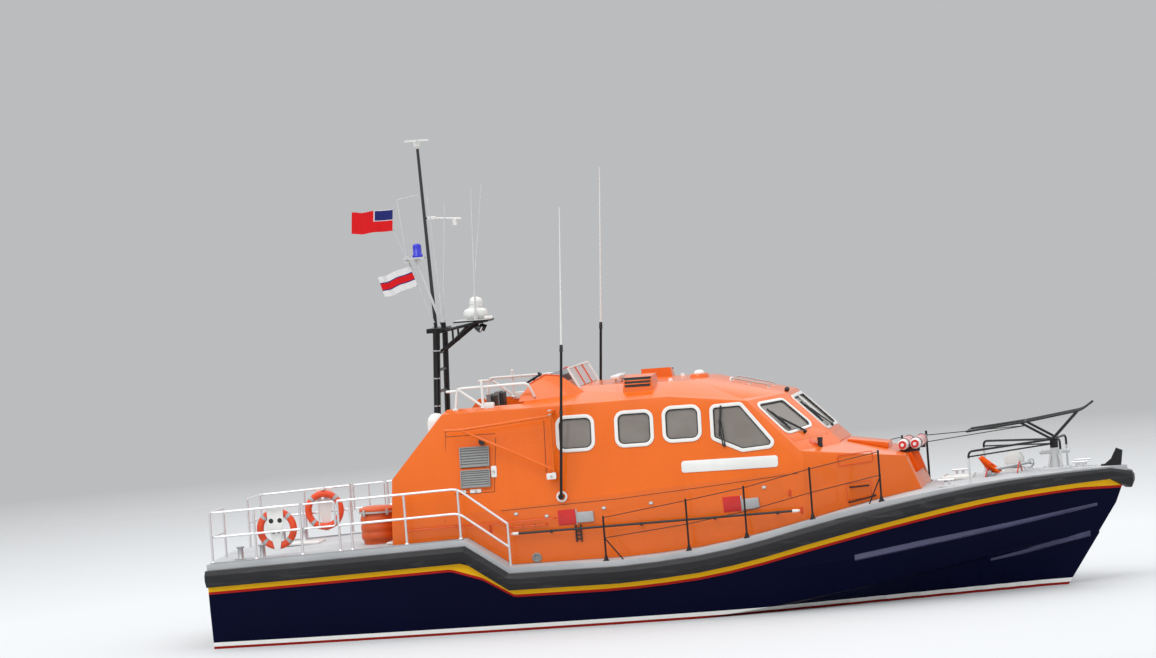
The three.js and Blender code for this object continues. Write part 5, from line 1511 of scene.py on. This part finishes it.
block(bow_frame, (0.52, 0.52, 0.085), at_post(0, 0, -0.018), edge=0.008)
piece = ready(bow_frame, "bow_frame_tubes", bow_frame_paint)
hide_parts("bow_frame")
for dx, dy in ((-0.21, -0.21), (-0.21, 0.21), (0.21, -0.21), (0.21, 0.21)):
    bar(bolts, at_post(dx, dy, 0.02), at_post(dx, dy, 0.04), 0.016, segments=6)
for dx, dy in ((-0.12, -0.07), (0.12, -0.07), (-0.12, 0.07), (0.12, 0.07)):
    bar(bolts, at_post(dx, dy, 0.02), at_post(dx * 0.55, dy * 0.8, 0.26), 0.018)
ready(bolts, "towing_post_stays", steel)

ANCHOR_Z = deck_at(5.75, 0) + 0.05
ANCHOR_Y = -0.220
FLUKE = [(5.65, 0.03, -0.02), (5.65, 0.03, 0.03), (5.52, 0.19, 0.29), (5.48, 0.19, 0.28),
         (5.85, 0.20, -0.02), (5.85, 0.18, 0.02)]


def hoop(centre, first, second, count):
    """Points round an ellipse with these two half axes, back to the start."""
    turns = (math.tau * step / count for step in range(count + 1))
    return [centre + first * math.cos(turn) + second * math.sin(turn) for turn in turns]


shank, flukes, chain, lashing = (bmesh.new() for _ in range(4))
crown = Vector((5.65, ANCHOR_Y, ANCHOR_Z + 0.03))
stock_end = Vector((6.38, -0.06, ANCHOR_Z + 0.12))
bar(shank, crown, stock_end, 0.032, 0.026)
bar(shank, crown + Vector((0.02, -0.22, -0.02)), crown + Vector((0.02, 0.22, -0.02)), 0.036)
block(shank, (0.17, 0.40, 0.06), (5.675, ANCHOR_Y, ANCHOR_Z - 0.03), edge=0.01)
shackle = hoop(stock_end + up(0.01), Vector((0.045, 0, 0)), up(0.045), 20)
tube(shank, shackle, 0.010, 0)
for side in (-1, 1):
    fluke = bmesh.new()
    for x, y, z in FLUKE:
        fluke.verts.new((x, ANCHOR_Y + side * y, ANCHOR_Z + z))
    bmesh.ops.convex_hull(fluke, input=fluke.verts[:])
    bmesh.ops.bevel(
        fluke, geom=fluke.edges[:], offset=0.006, segments=2, profile=0.5, affect="EDGES",
        clamp_overlap=True, material=-1,
    )
    add(flukes, fluke)
piece = ready(flukes, "anchor_flukes", matt_orange)
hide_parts("anchor")
ready(shank, "anchor_shank", galvanised)

link_at = stock_end + Vector((0.05, 0.0, -0.03))
goal = Vector((6.02, 0.22, deck_at(6.05, 0.25) + 0.10))
bend_at = Vector((6.34, 0.16, deck_at(6.3, 0.16) + 0.03))
path = with_bends([link_at, bend_at, goal], 0.14, 14)
length = sum((b - a).length for a, b in zip(path, path[1:]))
count = int(length / 0.052)
for step in range(count):
    want = length * (step + 0.5) / count
    walked = 0.0
    for a, b in zip(path, path[1:]):
        if walked + (b - a).length >= want:
            centre = a.lerp(b, (want - walked) / (b - a).length)
            along = (b - a).normalized()
            break
        walked += (b - a).length
    flat = along.cross(UP).normalized()
    across = flat if step % 2 else along.cross(flat)
    tube(chain, hoop(centre, along * 0.030, across * 0.017, 12), 0.0065, 0, sides=1)
ready(chain, "anchor_chain", galvanised)
tube(lashing, [over_deck(5.60, -0.50, 0.01), (5.66, -0.33, ANCHOR_Z + 0.16),
               (5.70, -0.10, ANCHOR_Z + 0.12), over_deck(5.74, 0.02, 0.01)], 0.012, 0.08)
tube(lashing, [over_deck(6.15, -0.34, 0.01), (6.18, -0.14, ANCHOR_Z + 0.15),
               over_deck(6.20, 0.02, 0.01)], 0.012, 0.05)
ready(lashing, "anchor_lashings", reflector_red)

KNUCKLE = [(3.38, 0.840, 1.0), (4.49, 0.985, 1.0), (5.30, 1.085, 0.85), (6.10, 1.19, 0.7),
           (7.06, 1.325, 0.5), (7.50, 1.395, 0.3)]
CHINE = [(5.60, 0.58, 0.2), (6.20, 0.655, 0.55), (6.85, 0.765, 0.9), (7.10, 0.810, 1.0),
         (7.33, 0.850, 1.0)]


def spray_rail(bm, line, out=0.060, height=0.085, under=0.035, steps=60):
    """A ledge along the hull whose sloping top is as tall as the width given for each point."""
    rings = []
    first, last = line[0][0], line[-1][0]
    for step in range(steps + 1):
        x = first + (last - first) * step / steps
        k = next(i for i in range(len(line) - 1) if x <= line[i + 1][0] + 1e-6)
        (xa, za, wa), (xb, zb, wb) = line[k], line[k + 1]
        share = (x - xa) / (xb - xa)
        z, w = za + (zb - za) * share, wa + (wb - wa) * share
        rise, ledge = height * w, out * w
        top, foot, middle = (from_outside(HULL_SIDE, x, z + dz)[0].y for dz in (rise, -under, 0))
        section = [(top + 0.004, rise), (middle - ledge, 0), (middle - ledge, -0.012 * w),
                   (foot + 0.004, -under), (middle + 0.03, 0)]
        rings.append([(x, y, z + dz) for y, dz in section])
    skin(bm, rings)


spray_rails = bmesh.new()
for line in (KNUCKLE, CHINE):
    spray_rail(spray_rails, line)
ready(spray_rails, "spray_rails", rail_highlight_paint, mirrored=True, crease=25)

fittings = bmesh.new()
for x, y in ((4.98, -1.22), (7.25, -0.30)):
    foot = over_deck(x, y, 0)
    block(fittings, (0.26, 0.09, 0.02), foot + up(0.008), edge=0.004)
    for dx in (-0.055, 0.055):
        bar(fittings, foot + Vector((dx, 0, 0.01)), foot + Vector((dx, 0, 0.11)), 0.022)
    bar(fittings, foot + Vector((-0.14, 0, 0.115)), foot + Vector((0.14, 0, 0.115)), 0.018)
for x, y in ((5.15, -1.30), (6.35, -0.80), (7.45, -0.28)):
    foot = over_deck(x, y, 0)
    bar(fittings, foot + up(-0.004), foot + up(0.012), 0.05)
ready(fittings, "bow_cleats", steel, mirrored=True)

hatch, hinges = bmesh.new(), bmesh.new()
foot = over_deck(5.08, 0, 0)
block(hatch, (0.56, 0.56, 0.07), foot + up(0.030), edge=0.02, segments=3)
for dy in (-0.18, 0.18):
    block(hinges, (0.09, 0.05, 0.025), foot + Vector((0.25, dy, 0.072)), edge=0.006)
    bar(hinges, foot + Vector((-0.22, dy, 0.06)), foot + Vector((-0.22, dy, 0.085)), 0.02)
ready(hatch, "foredeck_hatch", white)
ready(hinges, "foredeck_hatch_fittings", steel)
print("bow fitted")

# %% [markdown]
# ## The mast's gear
# The radar has a broad lower dome and a small tilted one on top. White lamps sit on the platform,
# under the lamp bracket and on the pole's yard, and floodlights hang below the platform. Conduits
# run up one leg in clips. Everything here rides on the mast, so it folds aft with it.

# %% Fit the mast
MAST_BODY = body_of("mast_frame")
RADAR_FOOT = Vector((-3.33, 0, 5.4104))

radar, gear, floods, glasses, conduits, clips = (bmesh.new() for _ in range(6))
add(radar, lathe([(0.0, 0.0), (0.150, 0.0), (0.162, 0.028), (0.208, 0.058), (0.220, 0.085),
                  (0.220, 0.118), (0.206, 0.160), (0.168, 0.188), (0.112, 0.204), (0.104, 0.250),
                  (0.0, 0.252)], RADAR_FOOT))
add(radar, lathe([(0.0, 0.0), (0.096, 0.0), (0.116, 0.022), (0.120, 0.080), (0.110, 0.122),
                  (0.078, 0.152), (0.036, 0.166), (0.0, 0.168)],
                 RADAR_FOOT + Vector((0.012, 0, 0.236)), (0.22, 0, 1)))
piece = ready(radar, "radar_domes", white, MAST_BODY)
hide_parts("radar_scanner")

LAMPS = [((0.15, 0.07, 0.05), (-3.05, -0.27, 5.438), 0.012),
         ((0.09, 0.06, 0.06), (-4.50, 0.02, 6.524), 0.014),
         ((0.09, 0.06, 0.06), (-4.30, 0.02, 6.524), 0.014),
         ((0.15, 0.07, 0.06), (-4.02, 0.19, 7.265), 0.012)]
FLOOD = [(0.0, -0.07), (0.035, -0.065), (0.058, -0.01), (0.066, 0.045), (0.066, 0.06), (0.058, 0.06),
         (0.050, 0.04), (0.0, 0.04)]
for size, centre, edge in LAMPS:
    block(gear, size, centre, edge=edge)
bar(gear, (-3.61, 0.19, 7.11), (-3.61, 0.19, 7.224), 0.039, segments=20)
bar(gear, (-4.10, 0.19, 7.2692), (-3.485, 0.19, 7.2195), 0.0152)
ready(gear, "mast_lamps", white, MAST_BODY)
for side in (-1, 1):
    head = Vector((-3.26, side * 0.22, 5.255))
    aim = Vector((0.85, side * 0.15, -0.45)).normalized()
    bar(floods, head + up(0.125), head, 0.014)
    add(floods, lathe(FLOOD, head, aim, 24))
    add(glasses, lathe([(0.0, 0.042), (0.055, 0.042), (0.050, 0.054), (0.0, 0.060)], head, aim, 24))
    block(floods, (0.02, 0.15, 0.02), head, edge=0.004)
ready(floods, "mast_floodlights", dark_plastic, MAST_BODY)
ready(glasses, "mast_floodlight_glass", lamp_glass, MAST_BODY)

LEG_FOOT = Vector((-4.11, -0.56, 3.20))
LEG_HEAD = Vector((-3.99, -0.448, 5.24))
for offset in (Vector((0.062, 0.012, 0)), Vector((0.058, -0.022, 0))):
    tube(conduits, [LEG_FOOT + offset, LEG_HEAD + offset], 0.011, 0)
for share in (0.12, 0.36, 0.60, 0.84):
    centre = LEG_FOOT.lerp(LEG_HEAD, share)
    add(clips, lathe([(0.054, -0.012), (0.060, -0.012), (0.060, 0.012), (0.054, 0.012)], centre,
                     LEG_HEAD - LEG_FOOT, 20))
    block(clips, (0.03, 0.07, 0.024), centre + Vector((0.066, -0.005, 0)), edge=0.004)
ready(conduits, "mast_conduits", seal_black, MAST_BODY)
ready(clips, "mast_conduit_clips", galvanised, MAST_BODY)
print("mast fitted")

# %% [markdown]
# ## The flags
# Both flags are real sheets of cloth that stream aft in the wind. A flag is a grid of points: each
# column lies further from the hoist, and a travelling wave that grows along the fly moves it from
# side to side. The pattern is sewn from panels, so each face takes one cloth. The ensign is red with
# a plain navy canton, and the house flag has bands of white, red and white.

# %% Hoist the flags
ENSIGN_HOIST = [Vector((-4.664, 0.0, 7.480)), Vector((-4.699, 0.0, 7.095))]
HOUSE_FLAG_HOIST = [Vector((-4.452, 0.055, 6.450)), Vector((-4.356, 0.055, 6.085))]


def streamer(name, node, hoist, fly, drop, panel, cloths, columns=84, rows=40):
    """A flag as it streams from its hoist, with each face in the cloth that its panel takes."""
    top, foot = hoist

    def at(i, j):
        t, s = i / columns, j / rows
        swell = 0.070 * math.sin(2.6 * math.pi * t + 0.5 * s)
        flutter = 0.016 * math.sin(7.3 * math.pi * t + 2.6 * s)
        sag = drop * t + 0.016 * math.sin(3.5 * math.pi * t) * t
        return top.lerp(foot, s) + Vector((-fly * t, (swell + flutter) * t, -sag))

    bm = bmesh.new()
    grid = [[bm.verts.new(at(i, j)) for j in range(rows + 1)] for i in range(columns + 1)]
    for i in range(columns):
        for j in range(rows):
            face = bm.faces.new((grid[i][j], grid[i + 1][j], grid[i + 1][j + 1], grid[i][j + 1]))
            face.material_index = panel((i + 0.5) / columns, (j + 0.5) / rows)
    length = sum((at(i + 1, 0) - at(i, 0)).length for i in range(columns))
    piece = show(bm, name, cloths[0], body_of(node))
    for other in cloths[1:]:
        piece.data.materials.append(other.material)
    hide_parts(node)


def ensign_panel(t, s):
    if t < 0.46 and s < 0.50:
        edge = min(t, 0.46 - t) * 2, min(s, 0.50 - s)
        return 2 if min(edge) > 0.035 else 1
    return 0


def house_flag_panel(t, s):
    return 1 if 0.36 < s < 0.64 else 2 if 0.31 < s < 0.69 else 0


streamer("ensign_cloth", "ensign", ENSIGN_HOIST, 0.775, 0.02, ensign_panel,
         [red_cloth, white_cloth, navy_cloth])
streamer("house_flag_cloth", "house_flag", HOUSE_FLAG_HOIST, 0.615, 0.185, house_flag_panel,
         [white_cloth, red_cloth, navy_cloth])

toggles = bmesh.new()
for spot in ENSIGN_HOIST + HOUSE_FLAG_HOIST:
    ball(toggles, spot, 0.014)
ready(toggles, "flag_toggles", light_grey, MAST_BODY)
print("flags hoisted")

# %% [markdown]
# ## Side aerials and davits
# Each side aerial pivots in a white disc on the wheelhouse wall and has two dark collars. The
# davits turn on steel pins in their brackets.

# %% Dress the aerials
AERIAL_X, AERIAL_Z, AERIAL_RAKE = -1.669, 2.281, 0.08
DAVIT = (-1.77, -2.125)
discs = lathe([(0.062, 0.0), (0.094, 0.0), (0.098, 0.006), (0.091, 0.014), (0.064, 0.016),
               (0.062, 0.0)], (AERIAL_X, -2.1095, AERIAL_Z), (0, -1, 0), 40)
ready(discs, "aerial_discs", white, mirrored=True)
along = Vector((AERIAL_RAKE, 0, 1)).normalized()
for side, y in (("starboard", -2.19), ("port", 2.19)):
    z = AERIAL_NECKS[side]
    neck = Vector((AERIAL_X + (z - AERIAL_Z) * AERIAL_RAKE, y, z))
    collars = bmesh.new()
    bar(collars, neck - along * 0.10, neck + along * 0.02, 0.033, 0.028)
    bar(collars, neck - along * 1.2, neck - along * 1.13, 0.030)
    ready(collars, f"aerial_collar_{side}", dark_plastic, body_of(f"side_aerial_{side}"))

pins = bmesh.new()
for z in (2.6746, 3.7654):
    bar(pins, (*DAVIT, z - 0.045), (*DAVIT, z + 0.045), 0.036, segments=24)
ready(pins, "davit_pins", steel, mirrored=True)
print("aerials dressed")

# %% [markdown]
# ## The aft deck
# Two orange lifebuoys hang on the rails, each behind a tapered white plate with four round holes,
# which are black discs of painted shade on its face, and four tapes hold its line. A salvage pump is
# kept in the ribbed orange drum beside the well.
# There are double bollards at the quarters and two hatches.

# %% Fit the aft deck
BUOY_X, BUOY_RISE, BUOY_RADIUS = -6.80, 0.505, 0.30
TAPE_RADIUS = 0.0655
BUOY_PLATE = [(-0.150, 0.40), (0.150, 0.40), (0.140, 0.10), (0.045, -0.38), (-0.045, -0.38),
              (-0.140, 0.10)]
BUOY_PLATE_HOLES = [(-0.078, 0.15, 0.042), (0.078, 0.15, 0.042), (-0.045, -0.05, 0.027),
                    (0.045, -0.05, 0.027)]
buoy_at = rail_point(BUOY_X, BUOY_RISE) + Vector((0, 0.14, 0))


def add_lifebuoy(bm):
    turns = (math.tau * k / 28 for k in range(29))
    ring = [(BUOY_RADIUS + 0.062 * math.cos(a), 0.062 * math.sin(a)) for a in turns]
    add(bm, lathe(ring, buoy_at, (0, -1, 0), 72))


def round_tape(turn):
    """Points round the buoy's ring at this angle, just over its skin."""
    out = Vector((math.cos(turn), 0, math.sin(turn)))
    return hoop(buoy_at + out * BUOY_RADIUS, out * TAPE_RADIUS, TO_PORT * TAPE_RADIUS, 24)[:-1]


def add_tapes(bm):
    for degrees in (45, 135, 225, 315):
        for step in (-1, 0):
            edges = (math.radians(degrees + 5.5 * edge) for edge in (step, step + 1))
            skin(bm, [round_tape(edge) for edge in edges])


def add_buoy_plate(bm):
    place = axes(buoy_at + Vector((0, -0.072, 0)), Vector((1, 0, 0)), Vector((0, -1, 0)))
    plate(bm, place, BUOY_PLATE, 0.012, 0.02, 0.004)
    for height in (0.395, 0.22):
        block(bm, (0.05, 0.16, 0.05), buoy_at + up(height), edge=0.008)


# The holes are black discs on the plate's face, which paint the shade seen in them.
def add_hole_shades(bm):
    for x, z, radius in BUOY_PLATE_HOLES:
        start, end = (buoy_at + Vector((x, y, z)) for y in (-0.0835, -0.0875))
        bar(bm, start, end, radius, segments=24)


pair(add_lifebuoy, "lifebuoy_ring", buoy_orange, "lifebuoy")
pair(add_tapes, "lifebuoy_tapes", light_grey)
pair(add_buoy_plate, "lifebuoy_plate", white)
pair(add_hole_shades, "lifebuoy_hole_shades", seal_black)

DRUM = Vector((-5.13, -1.25, deck_at(-5.13, -1.0)))
drum = lathe([
    (0.0, -0.03), (0.280, -0.03), (0.286, 0.0), (0.290, 0.05), (0.318, 0.075), (0.324, 0.10),
    (0.324, 0.17), (0.314, 0.185), (0.314, 0.215), (0.324, 0.23), (0.324, 0.31), (0.314, 0.325),
    (0.314, 0.355), (0.324, 0.37), (0.324, 0.44), (0.306, 0.475), (0.300, 0.50), (0.300, 0.555),
    (0.0, 0.556)], DRUM, steps=48)
piece = ready(drum, "pump_drum_shell", drum_orange, crease=50)
lid = lathe([(0.0, 0.552), (0.328, 0.552), (0.336, 0.560), (0.336, 0.600), (0.326, 0.612),
             (0.290, 0.622), (0.272, 0.640), (0.150, 0.652), (0.0, 0.656)], DRUM, steps=48)
ready(lid, "pump_drum_lid", drum_orange, crease=50)
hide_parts("pump_drum")
clamps = lathe([(0.322, 0.528), (0.340, 0.530), (0.344, 0.546), (0.340, 0.562), (0.322, 0.560)],
               DRUM, steps=48)
for turn in (-2.2, -0.9, 0.6, 2.0):
    out = Vector((math.cos(turn), math.sin(turn), 0))
    block(clamps, (0.02, 0.05, 0.11), DRUM + out * 0.345 + up(0.545),
          out.to_track_quat("X", "Z").to_matrix(), edge=0.005)
ready(clamps, "pump_drum_clamps", light_grey, crease=50)

BOLLARD = [(0.0, 0.0), (0.075, 0.0), (0.052, 0.02), (0.050, 0.20), (0.072, 0.215), (0.072, 0.235),
           (0.0, 0.245)]
HATCHES = [(-6.75, 0.0, (0.62, 0.62, 0.05)), (-4.70, -1.72, (0.40, 0.30, 0.04))]
bollards, hatches, dogs = bmesh.new(), bmesh.new(), bmesh.new()
for x in (-7.55, -7.15):
    add(bollards, lathe(BOLLARD, over_deck(x, -1.80, -0.005), steps=24))
block(bollards, (0.62, 0.20, 0.016), over_deck(-7.35, -1.80, 0.006), edge=0.005)
ready(bollards, "aft_bollards", galvanised, mirrored=True, crease=50)
for x, y, size in HATCHES:
    length, width, thickness = size
    block(hatches, size, over_deck(x, y, thickness / 2 - 0.005), edge=0.014, segments=3)
    for dy in (0.06 - width / 2, width / 2 - 0.06):
        spot = (x - length / 2 + 0.08, y + dy)
        bar(dogs, over_deck(*spot, thickness - 0.008), over_deck(*spot, thickness + 0.016), 0.024)
ready(hatches, "aft_hatches", white)
ready(dogs, "aft_hatch_dogs", steel)
print("aft deck fitted")

# %% [markdown]
# ## Gear on the trunk
# Two white fenders with red bands lie across the front of the trunk's top in two cradles.

# %% Stow the fenders
fender_bodies, fender_bands, cradles = bmesh.new(), bmesh.new(), bmesh.new()
FENDER = [(0.0, -0.72), (0.030, -0.72), (0.034, -0.67), (0.088, -0.63), (0.096, -0.60), (0.096, 0.60),
          (0.088, 0.63), (0.034, 0.67), (0.030, 0.72), (0.0, 0.72)]
BANDS = [(-0.655, 0.070), (-0.30, 0.0995), (0.0, 0.0995), (0.30, 0.0995), (0.655, 0.070)]
STRAP = [(0.096, -0.012), (0.104, -0.012), (0.104, 0.012), (0.096, 0.012), (0.096, -0.012)]
STOWAGE = top_at(4.20, 0).translation
for x, y in ((4.195, 0.06), (4.400, 0.20)):
    rest = Vector((x, y, STOWAGE.z + 0.130))
    add(fender_bodies, lathe(FENDER, rest, (0, 1, 0), 28))
    for at, radius in BANDS:
        start, end = (rest + Vector((0, at + edge, 0)) for edge in (-0.045, 0.045))
        bar(fender_bands, start, end, radius, segments=28)
    for at in (-0.46, 0.46):
        block(cradles, (0.12, 0.035, 0.05), rest + Vector((0, at, -0.100)), edge=0.006)
        add(cradles, lathe(STRAP, rest + Vector((0, at, 0)), (0, 1, 0), 28))
for y in (-0.36, 0.57):
    block(cradles, (0.36, 0.050, 0.035), STOWAGE + Vector((0.09, y, 0.012)), edge=0.006)
ready(fender_bodies, "foredeck_fenders", white)
ready(fender_bands, "foredeck_fender_bands", reflector_red)
ready(cradles, "fender_cradles", dark_plastic)
print("gear stowed")

# %% [markdown]
# ## The studio
# The boat stands in a plain pale studio, with the floor at its waterline. A bright overcast sky
# lights it from above and one broad soft sun gives it shape. The floor fades out into the
# background, so that no horizon shows, and it is clear from below, so that the underwater hull can
# be looked at too.

# %% Light the boat
FLOOR_RADIUS = 60.0
PALE = (0.62, 0.63, 0.64)


def make_floor():
    bm = bmesh.new()
    bmesh.ops.create_circle(bm, cap_ends=True, segments=96, radius=FLOOR_RADIUS)
    mesh = bpy.data.meshes.new("studio_floor")
    bm.to_mesh(mesh)
    bm.free()
    floor = bpy.data.objects.new("studio_floor", mesh)
    bpy.context.scene.collection.objects.link(floor)
    paint = Paint("studio_floor", roughness=0.8, base_color=(*PALE, 1))
    distance = paint.node("ShaderNodeVectorMath", {"operation": "LENGTH"}, {0: paint.place()}, output=1)
    fade = paint.ramp(distance * (1 / FLOOR_RADIUS), [(0.25, 0), (0.85, 1)])
    under = paint.node("ShaderNodeNewGeometry", output="Backfacing")
    clear = paint.node("ShaderNodeMath", {"operation": "MAXIMUM"}, {0: fade, 1: under})
    paint.feed(Alpha=1 - clear)
    floor.data.materials.append(paint.material)


def make_sky():
    world = bpy.data.worlds.new("studio_sky")
    bpy.context.scene.world = world
    world.use_nodes = True
    tree = world.node_tree
    background = tree.nodes["Background"]
    spot = tree.nodes.new("ShaderNodeTexCoord")
    parts = tree.nodes.new("ShaderNodeSeparateXYZ")
    ramp = tree.nodes.new("ShaderNodeValToRGB")
    bottom, top = ramp.color_ramp.elements
    bottom.position, bottom.color = 0.20, (*PALE, 1)
    top.position, top.color = 0.90, (1.75, 1.77, 1.80, 1)
    middle = ramp.color_ramp.elements.new(0.48)
    middle.color = (1.65, 1.67, 1.70, 1)
    tree.links.new(spot.outputs["Generated"], parts.inputs[0])
    tree.links.new(parts.outputs["Z"], ramp.inputs["Fac"])
    tree.links.new(ramp.outputs["Color"], background.inputs["Color"])
    background.inputs["Strength"].default_value = 0.80


def make_sun():
    sun = bpy.data.lights.new("soft_sun", "SUN")
    sun.energy = 0.9
    sun.angle = math.radians(40)
    holder = bpy.data.objects.new("soft_sun", sun)
    bpy.context.scene.collection.objects.link(holder)
    holder.rotation_euler = (math.radians(38), 0, math.radians(-25))


make_floor()
make_sky()
make_sun()
bpy.context.scene.view_settings.view_transform = "Standard"
print("floor radius", FLOOR_RADIUS, "m")
